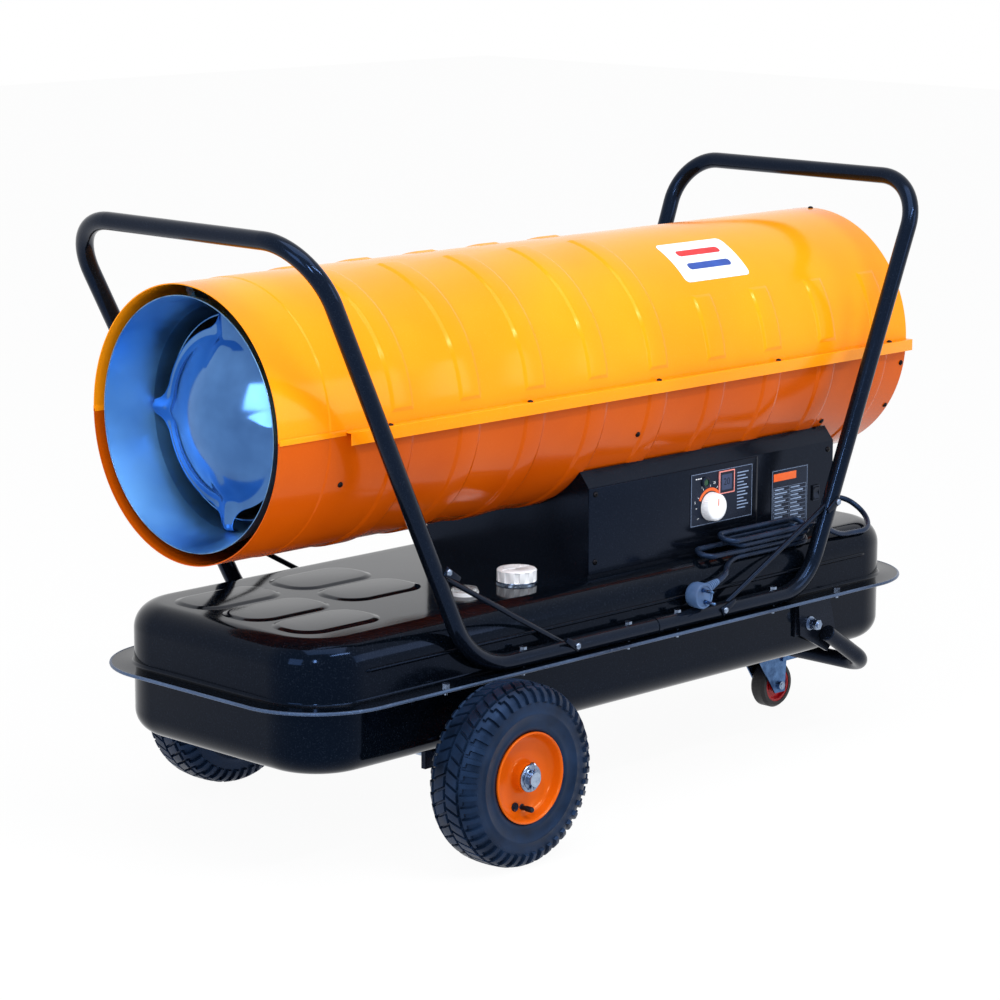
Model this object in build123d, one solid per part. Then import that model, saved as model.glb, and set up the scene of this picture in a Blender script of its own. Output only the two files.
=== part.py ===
from build123d import *
import math
import os

# Frame: millimetres, +X towards the intake end, -Y towards the control side, +Z up, floor at zero
quarter_turn = 90
half_turn = 180
full_turn = 360

# Clearances and stock thicknesses
running_gap = 0.05
sliding_gap = 0.03
hole_gap = 0.15
seat_gap = 0.3
free_gap = 0.5
sheet = 1.5
plate = 2
weld_overlap = 0.4

# Overall length and tube stock
overall_length = 1340
tube_radius = 12.7
tube_bore = 11.2

# Fasteners
screw_head_radius = 4.2
screw_head_height = 3
screw_radius = 2
screw_length = 9
bolt_radius = 3
bolt_head_radius = 5.7
bolt_head_height = 4
bolt_tail = 8

# Tank
tank_length = 1332
tank_half_width = 250
tank_flange_height = 250
tank_corner = 128
tank_inset = 33
tank_top = 338
tank_bottom = 150
tank_top_edge = 38
tank_bottom_edge = 34
pad_height = 2.5
pad_length = 150
pad_width = 92
pad_corner = 40
pad_pitch = 103
pad_front_set_back = 162
pad_rear_set_back = 340
side_bead_rise = 44
cap_set_back = 525
cap_y = -115
cap_radius = 29.5
cap_height = 18
cap_notches = 8
neck_radius = 24
neck_height = 16
gasket_height = 1.8
gauge_set_back = 417
gauge_y = -117
gauge_radius = 20
float_reach = 80
float_drop = 62
float_radius = 15
float_height = 24
drain_set_back = 182
drain_radius = 11

# Barrel
barrel_radius = 193.5
barrel_clearance = 87.5
barrel_overhang = 1
barrel_length = 1327
band_set_back = 223.5
band_pitch = 129.4
band_count = 9
band_full_count = 5
band_half_width = 16.5
band_slope = 3.5
band_height = 2.5
band_full_angle = 82
band_short_angle = 35
band_start_angle = 4
band_end_angle = 0.6
band_lift = 0.2
collar_length = 90
collar_draw = 1.2
seam_reach = 13
seam_lip = 16
seam_set_back = 117
seam_screw_set_back = 194.4
seam_screw_pitch = 270.4
seam_screw_count = 5
front_screw_set_back = 120
front_screw_angle = -22
middle_screw_set_back = 715
middle_screw_angle = -24
bracket_screw_angle = -37
guard_screw_angles = (-11, -34, 90)
guard_screw_inset = 8
gas_hole_radius = 14

# Outlet and fire side
liner_set_back = 6
liner_lip_gap = 17.5
liner_gap = 33.5
liner_cone_length = 74
liner_length = 777
upper_spacer_angles = (55, 125)
spacer_half_angle = 2
spacer_length = 20
chamber_set_back = 97
chamber_length = 746
chamber_gap = 17
chamber_hole = 64
chamber_spacer_count = 6
chamber_spacer_set_backs = (116, 626)
deflector_set_back = 77
deflector_gap = 34
deflector_sag = 44
deflector_root_inset = 16
deflector_root_half = 34
deflector_tip_half = 8.5
deflector_arm_count = 4
burner_disc_radius = 80
burner_bore = 14
burner_collar_depth = 44
swirl_slots = 8
nozzle_radius = 9
probe_radius = 4
probe_offset = 24
sensor_radius = 6
sensor_offset = 46

# Air side
fan_set_back = 294
fan_hub_radius = 42
fan_hub_length = 36
fan_tip_gap = 13.5
fan_blades = 6
blade_length = 34
blade_thickness = 2
blade_pitch_angle = 32
shaft_radius = 6
motor_gap = 14
motor_length = 138
motor_step = 10
motor_radius = 68
bracket_inset = 28
bracket_spacing = 80
bracket_thickness = 4
bracket_half_angle = 35
bracket_base_half_angle = 55
bracket_window = 30
pump_length = 56
pump_radius = 48
filter_radius = 72
filter_depth = 18
guard_first_radius = 45
guard_outer_gap = 5.5
guard_rings = 5
guard_wire = 2
guard_spokes = 6
hose_radius = 3
hose_hole_radius = 8
fuel_drop_set_back = 248
fuel_drop_y = 60
fuel_drop_slope = 30
fuel_filter_radius = 18
fuel_filter_height = 42
air_drop_set_back = 48
air_rise_set_back = 218
air_low_rise = 72
air_knee_rise = 34.5
gas_hole_set_back = 398

# Control box
box_set_back = 620
box_length = 561
box_half_width = 168
box_shoulder_rise = 134
box_collar_rise = 159
box_collar_half_width = 147
cover_length = 373
cover_margin = 4
cover_screw_margin = 13
window_inset = 24
label_thickness = 0.8
label_set_back = 222
label_length = 143
label_rise = 42
label_height = 82
knob_set_back = 267
knob_rise = 70
knob_radius = 22
knob_depth = 17
knob_stem = 3
lamp_set_back = 255
lamp_rise = 108
lamp_radius = 6
display_set_back = 303
display_rise = 103
display_size = 32
rating_set_back = 412
rating_length = 88
rating_rise = 12
rating_height = 93
switch_set_back = 519
switch_rise = 56
switch_width = 15
switch_height = 24
switch_travel_gap = 0.8
board_set_back = 63
board_length = 130
board_near = -110
board_width = 70
standoff = 8
relay_length = 35
relay_height = 20
coil_length = 75
coil_width = 70
coil_height = 44

# Wheels and axle
wheel_set_back = 324
wheel_radius = 130
tyre_width = 82
wheel_half_track = 301
bead_radius = 64
rim_half_width = 36
rim_wall = 2.5
valve_hole_radius = 6
valve_hole_reach = 46
axle_radius = 10
hub_radius = 20
hub_half_length = 36
cotter_radius = 2
bracket_half_track = 150
bracket_foot_length = 90
bracket_foot_width = 60
bracket_cheek_length = 44
bracket_cheek_width = 8

# Caster
caster_inset = 125
caster_lead = 35
caster_radius = 38
caster_width = 28
caster_core_radius = 28
caster_plate_top = 100
caster_plate_thickness = 3
caster_plate_length = 90
caster_plate_width = 64
caster_hole_pitch_x = 68
caster_hole_pitch_y = 44
kingpin_radius = 6
kingpin_collar_radius = 9
race_radius = 30
race_height = 3
fork_wall = 2.5
fork_crown_height = 6
caster_axle_radius = 4
caster_nut_radius = 7
caster_nut_height = 5
pedal_set_back = 8
pedal_drop = 18
pedal_pin_radius = 2.5
pedal_reach = 44
pedal_side_height = 9

# Caster frame
frame_bar_lead = 10
frame_half_width = 238
frame_bend = 45
frame_bar_rise = 1.3
frame_pivot_lead = 146
frame_pivot_drop = 41
pivot_radius = 5
pivot_washer_radius = 11
pivot_nut_radius = 8.5
mount_pad_thickness = 4
mount_web_length = 20
lug_top_front = -28
lug_top_rear = 46
lug_corners = ((66, -30), (44, -52), (-22, -16))
backing_front = 30
backing_rear = 44
backing_drop = 18

# Handle frames
rail_inset = 18
front_corner_set_back = 316.5
front_bar_z = 882
front_bar_half = 252
rear_corner_inset = 292.5
rear_bar_inset = 47
rear_bar_z = 880
rear_bar_half = 247
joint_inset = 632
joint_collar_length = 8
spigot_length = 30
front_rail_bend = 125
front_top_bend = 90
rear_rail_bend = 85
rear_top_bend = 75
rail_bolt_offsets = (-282, -63, 44, 263)
flange_bolt_front = 264
flange_bolt_rear = 217
brace_radius = 4
front_brace_top = 416
front_brace_reach = 186
rear_brace_top = 397
rear_brace_reach = 135

# Cord
cord_radius = 4.3
gland_radius = 8.6
gland_length = 16
gland_inset = 22
gland_rise = 36
hank_left_ends = (326, 263, 282)
hank_right_ends = (120, 130, 124)
hank_first = 256
hank_last = 134
hank_width = 32
hank_pitch = 9.7
hank_inset = 9
hank_drop = 5.3
hank_tilt = 20
plug_set_back = 394
plug_inset = 10
plug_radius = 19.5
plug_depth = 27
plug_relief_length = 30
plug_lean = 15
pin_radius = 2.4
pin_length = 19
pin_pitch = 19

# Free points of the lead: past the box's rear wall, in from the tank's side, up from the tank's top
gland_run_points = (
    (52, 71, 36),
    (71, 39, 11),
    (42, 5, -8),
    (2, 7.5, -8),
    (-28, 7, -7),
    (-58, 6, 5),
    (-88, 4, 20),
)

# Sizes that follow from the ones above
tank_rear = overall_length / 2
tank_front = tank_rear - tank_length
barrel_front = tank_front - barrel_overhang
barrel_rear = barrel_front + barrel_length
barrel_height = tank_top + barrel_clearance + barrel_radius
collar_radius = barrel_radius - collar_draw
collar_end = barrel_front + collar_length
liner_lip_radius = barrel_radius - liner_lip_gap
liner_radius = barrel_radius - liner_gap
chamber_radius = liner_radius - chamber_gap
deflector_radius = liner_radius - deflector_gap
fan_tip_radius = barrel_radius - fan_tip_gap
guard_outer_radius = barrel_radius - guard_outer_gap
guard_ring_pitch = (guard_outer_radius - guard_first_radius) / (guard_rings - 1)
fan_x = barrel_rear - fan_set_back
box_front = barrel_front + box_set_back
box_rear = box_front + box_length
fuel_drop_x = box_rear - fuel_drop_set_back
air_drop_x = box_rear - air_drop_set_back
air_rise_x = box_rear - air_rise_set_back
gas_hole_x = box_rear - gas_hole_set_back
label_front = box_front + label_set_back
knob_x = box_front + knob_set_back
lamp_x = box_front + lamp_set_back
display_x = box_front + display_set_back
rating_front = box_front + rating_set_back
switch_x = box_front + switch_set_back
board_front = box_front + board_set_back
cap_x = tank_front + cap_set_back
gauge_x = tank_front + gauge_set_back
drain_x = tank_front + drain_set_back
pad_front_x = tank_front + pad_front_set_back
pad_rear_x = tank_front + pad_rear_set_back
wheel_x = tank_front + wheel_set_back
caster_x = tank_rear - caster_inset
frame_bar_x = caster_x - frame_bar_lead
frame_pivot_x = caster_x - frame_pivot_lead
front_corner_x = tank_front + front_corner_set_back
rear_corner_x = tank_rear - rear_corner_inset
rear_bar_x = tank_rear - rear_bar_inset
joint_x = tank_rear - joint_inset
front_brace_foot = joint_x - front_brace_reach
rear_brace_foot = joint_x + rear_brace_reach
flange_bolt_places = (tank_front + flange_bolt_front, tank_rear - flange_bolt_rear)
plug_x = box_rear - plug_set_back
shell_inner = barrel_radius - sheet
band_reach = band_half_width + band_slope
barrel_low = barrel_height - barrel_radius
liner_front = barrel_front + liner_set_back
liner_inner = liner_radius - sheet
liner_cone_end = liner_front + liner_cone_length
chamber_front = barrel_front + chamber_set_back
chamber_rear = chamber_front + chamber_length
deflector_x = barrel_front + deflector_set_back
burner_back = chamber_rear + plate
nozzle_port_x = burner_back + nozzle_radius * 3
fan_front = fan_x - fan_hub_length / 2
fan_rear = fan_x + fan_hub_length / 2
motor_front = fan_rear + motor_gap
motor_rear = motor_front + motor_length
bracket_front = motor_front + bracket_inset
bracket_rear = bracket_front + bracket_spacing + bracket_thickness
bracket_screw_x = bracket_rear - spacer_length / 2
pump_rear = motor_rear + pump_length
pump_port_x = (motor_rear + pump_rear) / 2
guard_x = barrel_rear - guard_screw_inset
side_screws = (
    (barrel_front + front_screw_set_back, front_screw_angle),
    (barrel_front + middle_screw_set_back, middle_screw_angle),
    (bracket_screw_x, bracket_screw_angle),
)
body_front = tank_front + tank_inset
body_rear = tank_rear - tank_inset
body_half_width = tank_half_width - tank_inset
body_corner = tank_corner - tank_inset
flange_top = tank_flange_height + plate
flange_bottom = tank_flange_height - plate
rail_half_width = tank_half_width - rail_inset
rail_height = flange_top + tube_radius
front_bar_x = tube_radius - overall_length / 2
box_shoulder_height = tank_top + box_shoulder_rise
box_collar_height = tank_top + box_collar_rise
cover_rear = box_front + cover_length
cover_low = tank_top + cover_margin
cover_high = box_shoulder_height - plate
cover_face = -box_half_width - sheet
label_face = cover_face - label_thickness
knob_z = tank_top + knob_rise
lamp_z = tank_top + lamp_rise
display_z = tank_top + display_rise
switch_z = tank_top + switch_rise
thermostat_face = plate * 2 - box_half_width
display_half = display_size / 2
display_window_half = display_size * 0.38
caster_axle_x = caster_x + caster_lead
fork_top = caster_plate_top - caster_plate_thickness - race_height - free_gap / 5
fork_inner = caster_width / 2 + fork_wall
fork_outer = fork_inner + fork_wall
pedal_x = caster_axle_x + pedal_set_back
pedal_z = caster_plate_top - pedal_drop
mount_pad_top = caster_plate_top + mount_pad_thickness
frame_bar_z = mount_pad_top + tube_radius + frame_bar_rise
frame_pivot_z = flange_bottom - frame_pivot_drop
lug_inner = body_half_width + plate * 2
lug_outer = frame_half_width - tube_radius + weld_overlap
cap_low = tank_top + plate * 2
cap_top = cap_low + cap_height
gasket_low = tank_top + neck_height
gauge_deck = tank_top + plate * 2
float_pivot_z = tank_top - plate * 7.5
cotter_y = wheel_half_track + hub_half_length + cotter_radius * 3.2
hank_near_y = hank_inset - body_half_width
hank_near_z = tank_top - hank_drop
gland_y = gland_inset - box_half_width
gland_z = tank_top + gland_rise
plug_back = plug_inset - rail_half_width
plug_z = rail_height + tube_radius + plug_radius + free_gap


def rod_x(radius, start, end, y=0, z=0):
    return Pos((start + end) / 2, y, z) * Rot(0, quarter_turn, 0) * Cylinder(radius, end - start)


def rod_y(radius, start, end, x=0, z=0):
    return Pos(x, (start + end) / 2, z) * Rot(quarter_turn, 0, 0) * Cylinder(radius, end - start)


def rod_z(radius, start, end, x=0, y=0):
    return Pos(x, y, (start + end) / 2) * Cylinder(radius, end - start)


def block(x0, x1, y0, y1, z0, z1):
    return Pos((x0 + x1) / 2, (y0 + y1) / 2, (z0 + z1) / 2) * Box(x1 - x0, y1 - y0, z1 - z0)


def panel(x, z, half_width, half_height, y0, y1):
    """Upright plate on the control side, centred on x and z."""
    return block(x - half_width, x + half_width, y0, y1, z - half_height, z + half_height)


def hex_z(radius, low, high, x, y):
    return Pos(x, y, low) * extrude(RegularPolygon(radius, 6), high - low, dir=(0, 0, 1))


def hex_y(radius, start, end, x, z):
    prism = extrude(RegularPolygon(radius, 6), end - start, dir=(0, 0, 1))
    return Pos(x, end, z) * Rot(quarter_turn, 0, 0) * prism


def lathe_x(points, low=0, high=full_turn):
    """Turn a closed (x, radius) outline about the barrel axis; angles run up from the near seam."""
    outline = Polyline(*[(x, 0, r) for x, r in points], close=True)
    solid = revolve(make_face(outline), Axis.X, high - low)
    return Pos(0, 0, barrel_height) * Rot(quarter_turn - high, 0, 0) * solid


def lathe_y(points, x, z):
    outline = Polyline(*[(r, y, 0) for r, y in points], close=True)
    return Pos(x, 0, z) * revolve(make_face(outline), Axis.Y, full_turn)


def lathe_z(points, x, y):
    outline = Polyline(*[(r, 0, z) for r, z in points], close=True)
    return Pos(x, y, 0) * revolve(make_face(outline), Axis.Z, full_turn)


def sector(inner, outer, x0, x1, low, high):
    return lathe_x([(x0, inner), (x1, inner), (x1, outer), (x0, outer)], low, high)


def about_barrel(angle):
    """Turn a solid made round the X axis to an angle up from the near seam, on the barrel axis."""
    return Pos(0, 0, barrel_height) * Rot(-angle, 0, 0)


def radial_rod(radius, x, angle, start, end):
    """Rod that points out from the barrel axis at an angle up from the near seam."""
    return about_barrel(angle) * rod_y(radius, -end, -start, x)


def mirrored(solid):
    return mirror(solid, Plane.XZ)


def swept_tube(points, bends, outer, inner=0):
    path = FilletPolyline(*points, radius=bends)
    plane = Plane(origin=path @ 0, z_dir=path % 0)
    tube = sweep(plane * Circle(outer), path=path)
    if inner:
        tube -= sweep(plane * Circle(inner), path=path)
    return tube


def both_sides(angle):
    """The same place on the near and the far side of the barrel; the crown has one."""
    return sorted({angle, half_turn - angle})


# Barrel shells
def band_centres():
    return [barrel_front + band_set_back + band_pitch * k for k in range(band_count)]


def band_outline(centre, base, top):
    return [
        (centre - band_reach, base),
        (centre - band_half_width, top),
        (centre + band_half_width, top),
        (centre + band_reach, base),
    ]


def shell_outline(outer, inner, end=barrel_rear):
    """Outline of a shell's wall, which is drawn in over the plain collar at the outlet."""
    collar_inner = shell_inner - collar_draw
    front = [
        (barrel_front, collar_inner),
        (barrel_front, collar_radius),
        (collar_end, collar_radius),
        (collar_end, barrel_radius),
    ]
    rear = [(end, barrel_radius), (end, shell_inner)]
    joggle = [(collar_end + sheet, shell_inner), (collar_end + sheet, collar_inner)]
    return front + outer + rear + inner[::-1] + joggle


def banded_outline():
    outer, inner = [], []
    for centre in band_centres():
        outer += band_outline(centre, barrel_radius, barrel_radius + band_height)
        inner += band_outline(centre, shell_inner, shell_inner + band_height)
    return shell_outline(outer, inner)


def seam_screw_places():
    first = barrel_front + seam_screw_set_back
    return [first + seam_screw_pitch * k for k in range(seam_screw_count)]


def shell_screw_places():
    places = []
    for x, angle in side_screws:
        places += [(x, place) for place in both_sides(angle)]
    for angle in guard_screw_angles:
        places += [(guard_x, place) for place in both_sides(angle)]
    return places


def shell_holes():
    reach = barrel_radius + weld_overlap
    inside = shell_inner - screw_length
    radius = screw_radius + hole_gap
    return [radial_rod(radius, x, angle, inside, reach) for x, angle in shell_screw_places()]


def seam_screw_spots():
    y = barrel_radius + seam_reach / 2
    return [(x, side * y) for x in seam_screw_places() for side in (-1, 1)]


def seam_holes():
    low, high = barrel_height - screw_length, barrel_height + sheet
    radius = screw_radius + hole_gap
    return [rod_z(radius, low, high, x, y) for x, y in seam_screw_spots()]


def seam_flange(reach, low, high, side):
    near, far = sorted((side * shell_inner, side * reach))
    return block(barrel_front + seam_set_back, barrel_rear, near, far, low, high)


def band_spans(number):
    """Angles between which a band of the upper shell runs, on the near and on the far side."""
    top_angle = band_full_angle if number < band_full_count else band_short_angle
    return ((band_start_angle, top_angle), (half_turn - top_angle, half_turn - band_start_angle))


def upper_band(number, centre):
    """Half ring of the wall, which the pressing of its two bands has lifted a little."""
    inner, outer = shell_inner + band_lift, barrel_radius + band_lift
    ring = sector(inner, outer, centre - band_reach, centre + band_reach, 0, half_turn)
    crest = band_outline(centre, outer, barrel_radius + band_height)
    hollow = band_outline(centre, inner, shell_inner + band_height)
    for low, high in band_spans(number):
        ring += lathe_x(crest, low, high)
        ring -= lathe_x(hollow, low + band_end_angle, high - band_end_angle)
    return ring


def upper_wall():
    centres = band_centres()
    wall = lathe_x(shell_outline([], [], centres[0] - band_reach), 0, half_turn)
    ends = [centre - band_reach for centre in centres[1:]] + [barrel_rear]
    for number, centre in enumerate(centres):
        wall += upper_band(number, centre)
        wall += sector(shell_inner, barrel_radius, centre + band_reach, ends[number], 0, half_turn)
    return wall


def upper_shell():
    shell = upper_wall()
    reach = barrel_radius + seam_reach
    start, top = barrel_front + seam_set_back, barrel_height + sheet
    for side in (-1, 1):
        shell += seam_flange(reach, barrel_height, top, side)
        near, far = sorted((side * (reach - sheet), side * reach))
        shell += block(start, barrel_rear, near, far, barrel_height - seam_lip, top)
    for hole in seam_holes() + shell_holes():
        shell -= hole
    return shell


def lower_shell():
    shell = lathe_x(banded_outline(), -half_turn, 0)
    reach = barrel_radius + seam_reach - sheet - free_gap
    for side in (-1, 1):
        shell += seam_flange(reach, barrel_height - sheet, barrel_height, side)
    for hole in seam_holes() + shell_holes():
        shell -= hole
    for x, y, radius in shell_passages():
        shell -= rod_z(radius, tank_top, barrel_height - shell_inner / 2, x, y)
    return shell


def shell_passages():
    """Holes for the fuel line, the two air line legs and the ignition leads."""
    return (
        (fuel_drop_x, fuel_drop_y, hose_hole_radius),
        (air_rise_x, 0, hose_hole_radius),
        (air_drop_x, 0, hose_hole_radius),
        (gas_hole_x, 0, gas_hole_radius),
    )


def sheet_screws():
    solids = []
    top = barrel_height + sheet
    for x, y in seam_screw_spots():
        screw = rod_z(screw_radius, barrel_height - screw_length, top, x, y)
        solids.append(screw + rod_z(screw_head_radius, top, top + screw_head_height, x, y))
    inside = shell_inner - screw_length
    for x, angle in shell_screw_places():
        screw = radial_rod(screw_radius, x, angle, inside, barrel_radius)
        head_top = barrel_radius + screw_head_height
        solids.append(screw + radial_rod(screw_head_radius, x, angle, barrel_radius, head_top))
    for x, z in cover_screw_places():
        face = cover_face if x < cover_rear else -box_half_width
        screw = rod_y(screw_radius, face, screw_length - box_half_width, x, z)
        solids.append(screw + rod_y(screw_head_radius, face - screw_head_height, face, x, z))
    return Compound(children=solids)


def cover_screw_places():
    left = box_front + cover_screw_margin
    right = cover_rear - cover_screw_margin * 0.7
    high = cover_high - cover_screw_margin * 0.7
    low = cover_low + cover_screw_margin * 0.7
    corner = (box_rear - cover_screw_margin, high - plate)
    return ((left, high), (left, low + screw_length), (right, low), corner)


# Outlet and fire side
def outlet_cone():
    outline = [
        (liner_front, liner_lip_radius),
        (liner_cone_end, liner_radius),
        (liner_cone_end, liner_inner),
        (liner_front, liner_lip_radius - sheet),
    ]
    return lathe_x(outline)


def spacer(inner, outer, x, angle):
    start, end = x - spacer_length / 2, x + spacer_length / 2
    return sector(inner, outer, start, end, angle - spacer_half_angle, angle + spacer_half_angle)


def outlet_liner():
    liner = sector(liner_inner, liner_radius, liner_cone_end, liner_front + liner_length, 0, full_turn)
    for x, screw_angle in side_screws[:2]:
        for angle in tuple(both_sides(screw_angle)) + upper_spacer_angles:
            liner += spacer(liner_radius - sheet / 2, shell_inner, x, angle)
    for hole in shell_holes():
        liner -= hole
    return liner


def combustion_chamber():
    inner = chamber_radius - sheet
    chamber = sector(inner, chamber_radius, chamber_front, chamber_rear, 0, full_turn)
    chamber += sector(chamber_hole, chamber_radius, chamber_rear - sheet, chamber_rear, 0, full_turn)
    pitch = full_turn / chamber_spacer_count
    for set_back in chamber_spacer_set_backs:
        for k in range(chamber_spacer_count):
            x, angle = chamber_front + set_back, pitch * (k + 0.5)
            chamber += spacer(chamber_radius - sheet / 2, liner_inner, x, angle)
    return chamber


def dome_outline():
    points = []
    steps = 10
    for k in range(steps + 1):
        share = k / steps
        points.append((deflector_x - deflector_sag * (1 - share * share), deflector_radius * share))
    back = [(x + sheet, r) for x, r in points]
    return points + back[::-1]


def deflector_arm():
    """Arm that narrows from the dome's edge to the liner, with a foot along the liner."""
    back = deflector_x - sheet * 2
    tip = hole_gap - liner_inner
    root = deflector_root_inset - deflector_radius
    outline = [
        (back, tip, -deflector_tip_half),
        (back, root, -deflector_root_half),
        (back, root, deflector_root_half),
        (back, tip, deflector_tip_half),
    ]
    arm = extrude(make_face(Polyline(*outline, close=True)), sheet * 2, dir=(1, 0, 0))
    foot_end = deflector_x + deflector_tip_half * 2
    return arm + block(back, foot_end, tip, tip + plate, -deflector_tip_half, deflector_tip_half)


def flame_deflector():
    dome = lathe_x(dome_outline())
    for k in range(deflector_arm_count):
        dome += about_barrel(full_turn * k / deflector_arm_count) * deflector_arm()
    return dome & sector(0, liner_inner, barrel_front, 0, 0, full_turn)


def burner_plate():
    disc = sector(burner_bore, burner_disc_radius, chamber_rear, burner_back, 0, full_turn)
    collar_outer = chamber_hole - plate * 3
    collar_start = chamber_rear - burner_collar_depth
    collar_end_x = chamber_rear + weld_overlap
    disc += sector(collar_outer - plate, collar_outer, collar_start, collar_end_x, 0, full_turn)
    start, end = chamber_rear - plate, burner_back + plate
    for k in range(swirl_slots):
        slot = block(start, end, plate * 5 - chamber_hole, -chamber_hole / 2, -plate, plate)
        disc -= about_barrel(full_turn * (k + 0.5) / swirl_slots) * slot
    for y, z, radius in probe_places():
        disc -= rod_x(radius + hole_gap, start, end, y, z)
    return disc


def probe_places():
    return (
        (-probe_offset / 2, barrel_height + probe_offset, probe_radius),
        (probe_offset / 2, barrel_height + probe_offset, probe_radius),
        (-sensor_offset * 0.8, barrel_height - sensor_offset * 0.6, sensor_radius),
    )


def burner_nozzle():
    body_start = chamber_rear - nozzle_radius * 3
    body = rod_x(nozzle_radius, body_start, burner_back + nozzle_radius * 5, 0, barrel_height)
    body += rod_x(nozzle_radius * 2, burner_back, burner_back + plate * 2, 0, barrel_height)
    tip_start = chamber_rear - nozzle_radius * 5
    body += rod_x(nozzle_radius * 0.6, tip_start, body_start, 0, barrel_height)
    port_low = barrel_height - nozzle_radius * 3
    return body + rod_z(nozzle_radius / 2, port_low, barrel_height, nozzle_port_x)


def burner_probes():
    solids = []
    for y, z, radius in probe_places():
        start = chamber_rear - radius * 9
        probe = rod_x(radius, start, chamber_rear + plate * 12, y, z)
        probe += rod_x(radius * 1.35, burner_back, burner_back + plate * 2, y, z)
        if radius == probe_radius:
            probe += rod_x(radius / 3, start - radius * 6, start, y, z)
        solids.append(probe)
    return Compound(children=solids)


# Air side
def fan():
    hub = sector(0, fan_hub_radius, fan_front, fan_rear, 0, full_turn)
    tip, root, half = -fan_tip_radius, -fan_hub_radius * 0.9, blade_thickness / 2
    flat_blade = block(-blade_length, blade_length, tip, root, -half, half)
    blade = Pos(fan_x, 0, 0) * Rot(0, blade_pitch_angle, 0) * flat_blade
    for k in range(fan_blades):
        hub += about_barrel(full_turn * k / fan_blades) * blade
    reach = fan_rear + blade_length / 3
    hub = hub & sector(0, fan_tip_radius, fan_front - blade_length, reach, 0, full_turn)
    return hub - sector(0, shaft_radius, fan_front - plate, fan_rear + plate, 0, full_turn)


def motor_shaft():
    return sector(0, shaft_radius, fan_front - plate * 2, pump_rear - plate * 4, 0, full_turn)


def motor():
    bell = motor_radius * 0.7
    outline = [
        (motor_front, shaft_radius + running_gap),
        (motor_front, bell),
        (motor_front + motor_step, bell),
        (motor_front + motor_step, motor_radius),
        (motor_rear - motor_step, motor_radius),
        (motor_rear - motor_step, bell),
        (motor_rear, bell),
        (motor_rear, shaft_radius + running_gap),
    ]
    return lathe_x(outline)


def motor_bracket():
    low, high = bracket_half_angle - half_turn, -bracket_half_angle
    bracket = sector(shell_inner - plate * 2, shell_inner, bracket_front, bracket_rear, low, high)
    low, high = bracket_base_half_angle - half_turn, -bracket_base_half_angle
    for start in (bracket_front, bracket_front + bracket_spacing):
        end = start + bracket_thickness
        bracket += sector(motor_radius, shell_inner - plate, start, end, low, high)
    floor = barrel_height - shell_inner
    window_low, window_high = floor + plate * 12, barrel_height - motor_radius * 0.82
    half = bracket_window
    window_end = bracket_rear + plate
    bracket -= block(bracket_front - plate, window_end, -half, half, window_low, window_high)
    bracket -= rod_z(hose_hole_radius, floor - plate, floor + plate * 6, air_drop_x)
    for hole in shell_holes():
        bracket -= hole
    return bracket


def air_pump():
    outline = [
        (motor_rear, shaft_radius + running_gap),
        (motor_rear, pump_radius),
        (pump_rear, pump_radius),
        (pump_rear, filter_radius),
        (pump_rear + filter_depth, filter_radius),
        (pump_rear + filter_depth, 0),
        (pump_rear - plate, 0),
        (pump_rear - plate, shaft_radius + running_gap),
    ]
    port = barrel_height - pump_radius
    spout = rod_z(nozzle_radius / 2, port - nozzle_radius, port + nozzle_radius, pump_port_x)
    return lathe_x(outline) + spout


def ring_x(radius, x):
    """Ring of eight-sided wire about the barrel axis."""
    sides = 8
    outline = []
    for k in range(sides):
        angle = math.radians(full_turn * (k + 0.5) / sides)
        outline.append((x + guard_wire * math.cos(angle), radius + guard_wire * math.sin(angle)))
    return lathe_x(outline)


def fan_guard():
    guard = ring_x(guard_outer_radius, guard_x)
    for k in range(guard_rings - 1):
        guard += ring_x(guard_first_radius + guard_ring_pitch * k, guard_x + guard_wire * 0.6)
    spoke_x, spoke_start = guard_x - guard_wire * 0.8, guard_first_radius - guard_wire
    for k in range(guard_spokes):
        angle = quarter_turn + full_turn * (k + 0.1) / guard_spokes
        guard += radial_rod(guard_wire, spoke_x, angle, spoke_start, guard_outer_radius)
    tab_inner, tab_reach, tab_half_angle = guard_outer_radius - guard_wire / 2, guard_wire * 3, 2.4
    for screw_angle in guard_screw_angles:
        for angle in both_sides(screw_angle):
            low, high = angle - tab_half_angle, angle + tab_half_angle
            guard += sector(tab_inner, shell_inner, guard_x - tab_reach, guard_x + tab_reach, low, high)
    for hole in shell_holes():
        guard -= hole
    print("guard solids", len(guard.solids()), "volume", round(guard.volume))
    return guard


def fuel_line():
    low = tank_top + plate * 26
    points = [
        (burner_back + nozzle_radius * 5, 0, barrel_height),
        (fuel_drop_x, 0, barrel_height),
        (fuel_drop_x, fuel_drop_y, barrel_height - fuel_drop_slope),
        (fuel_drop_x, fuel_drop_y, low),
    ]
    line = swept_tube(points, nozzle_radius * 2, hose_radius)
    floor = tank_top + plate
    canister = rod_z(fuel_filter_radius, low - fuel_filter_height, low, fuel_drop_x, fuel_drop_y)
    return line + canister + rod_z(hose_radius, floor, low - fuel_filter_height, fuel_drop_x, fuel_drop_y)


def air_line():
    knee = barrel_low + air_knee_rise
    low = tank_top + air_low_rise
    high = barrel_height - nozzle_radius * 7
    points = [
        (pump_port_x, 0, barrel_height - pump_radius - nozzle_radius),
        (pump_port_x, 0, knee),
        (air_drop_x, 0, knee),
        (air_drop_x, 0, low),
        (air_rise_x, 0, low),
        (air_rise_x, 0, high),
        (nozzle_port_x, 0, high),
        (nozzle_port_x, 0, barrel_height - nozzle_radius * 3),
    ]
    return swept_tube(points, nozzle_radius * 1.6, hose_radius)


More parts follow.
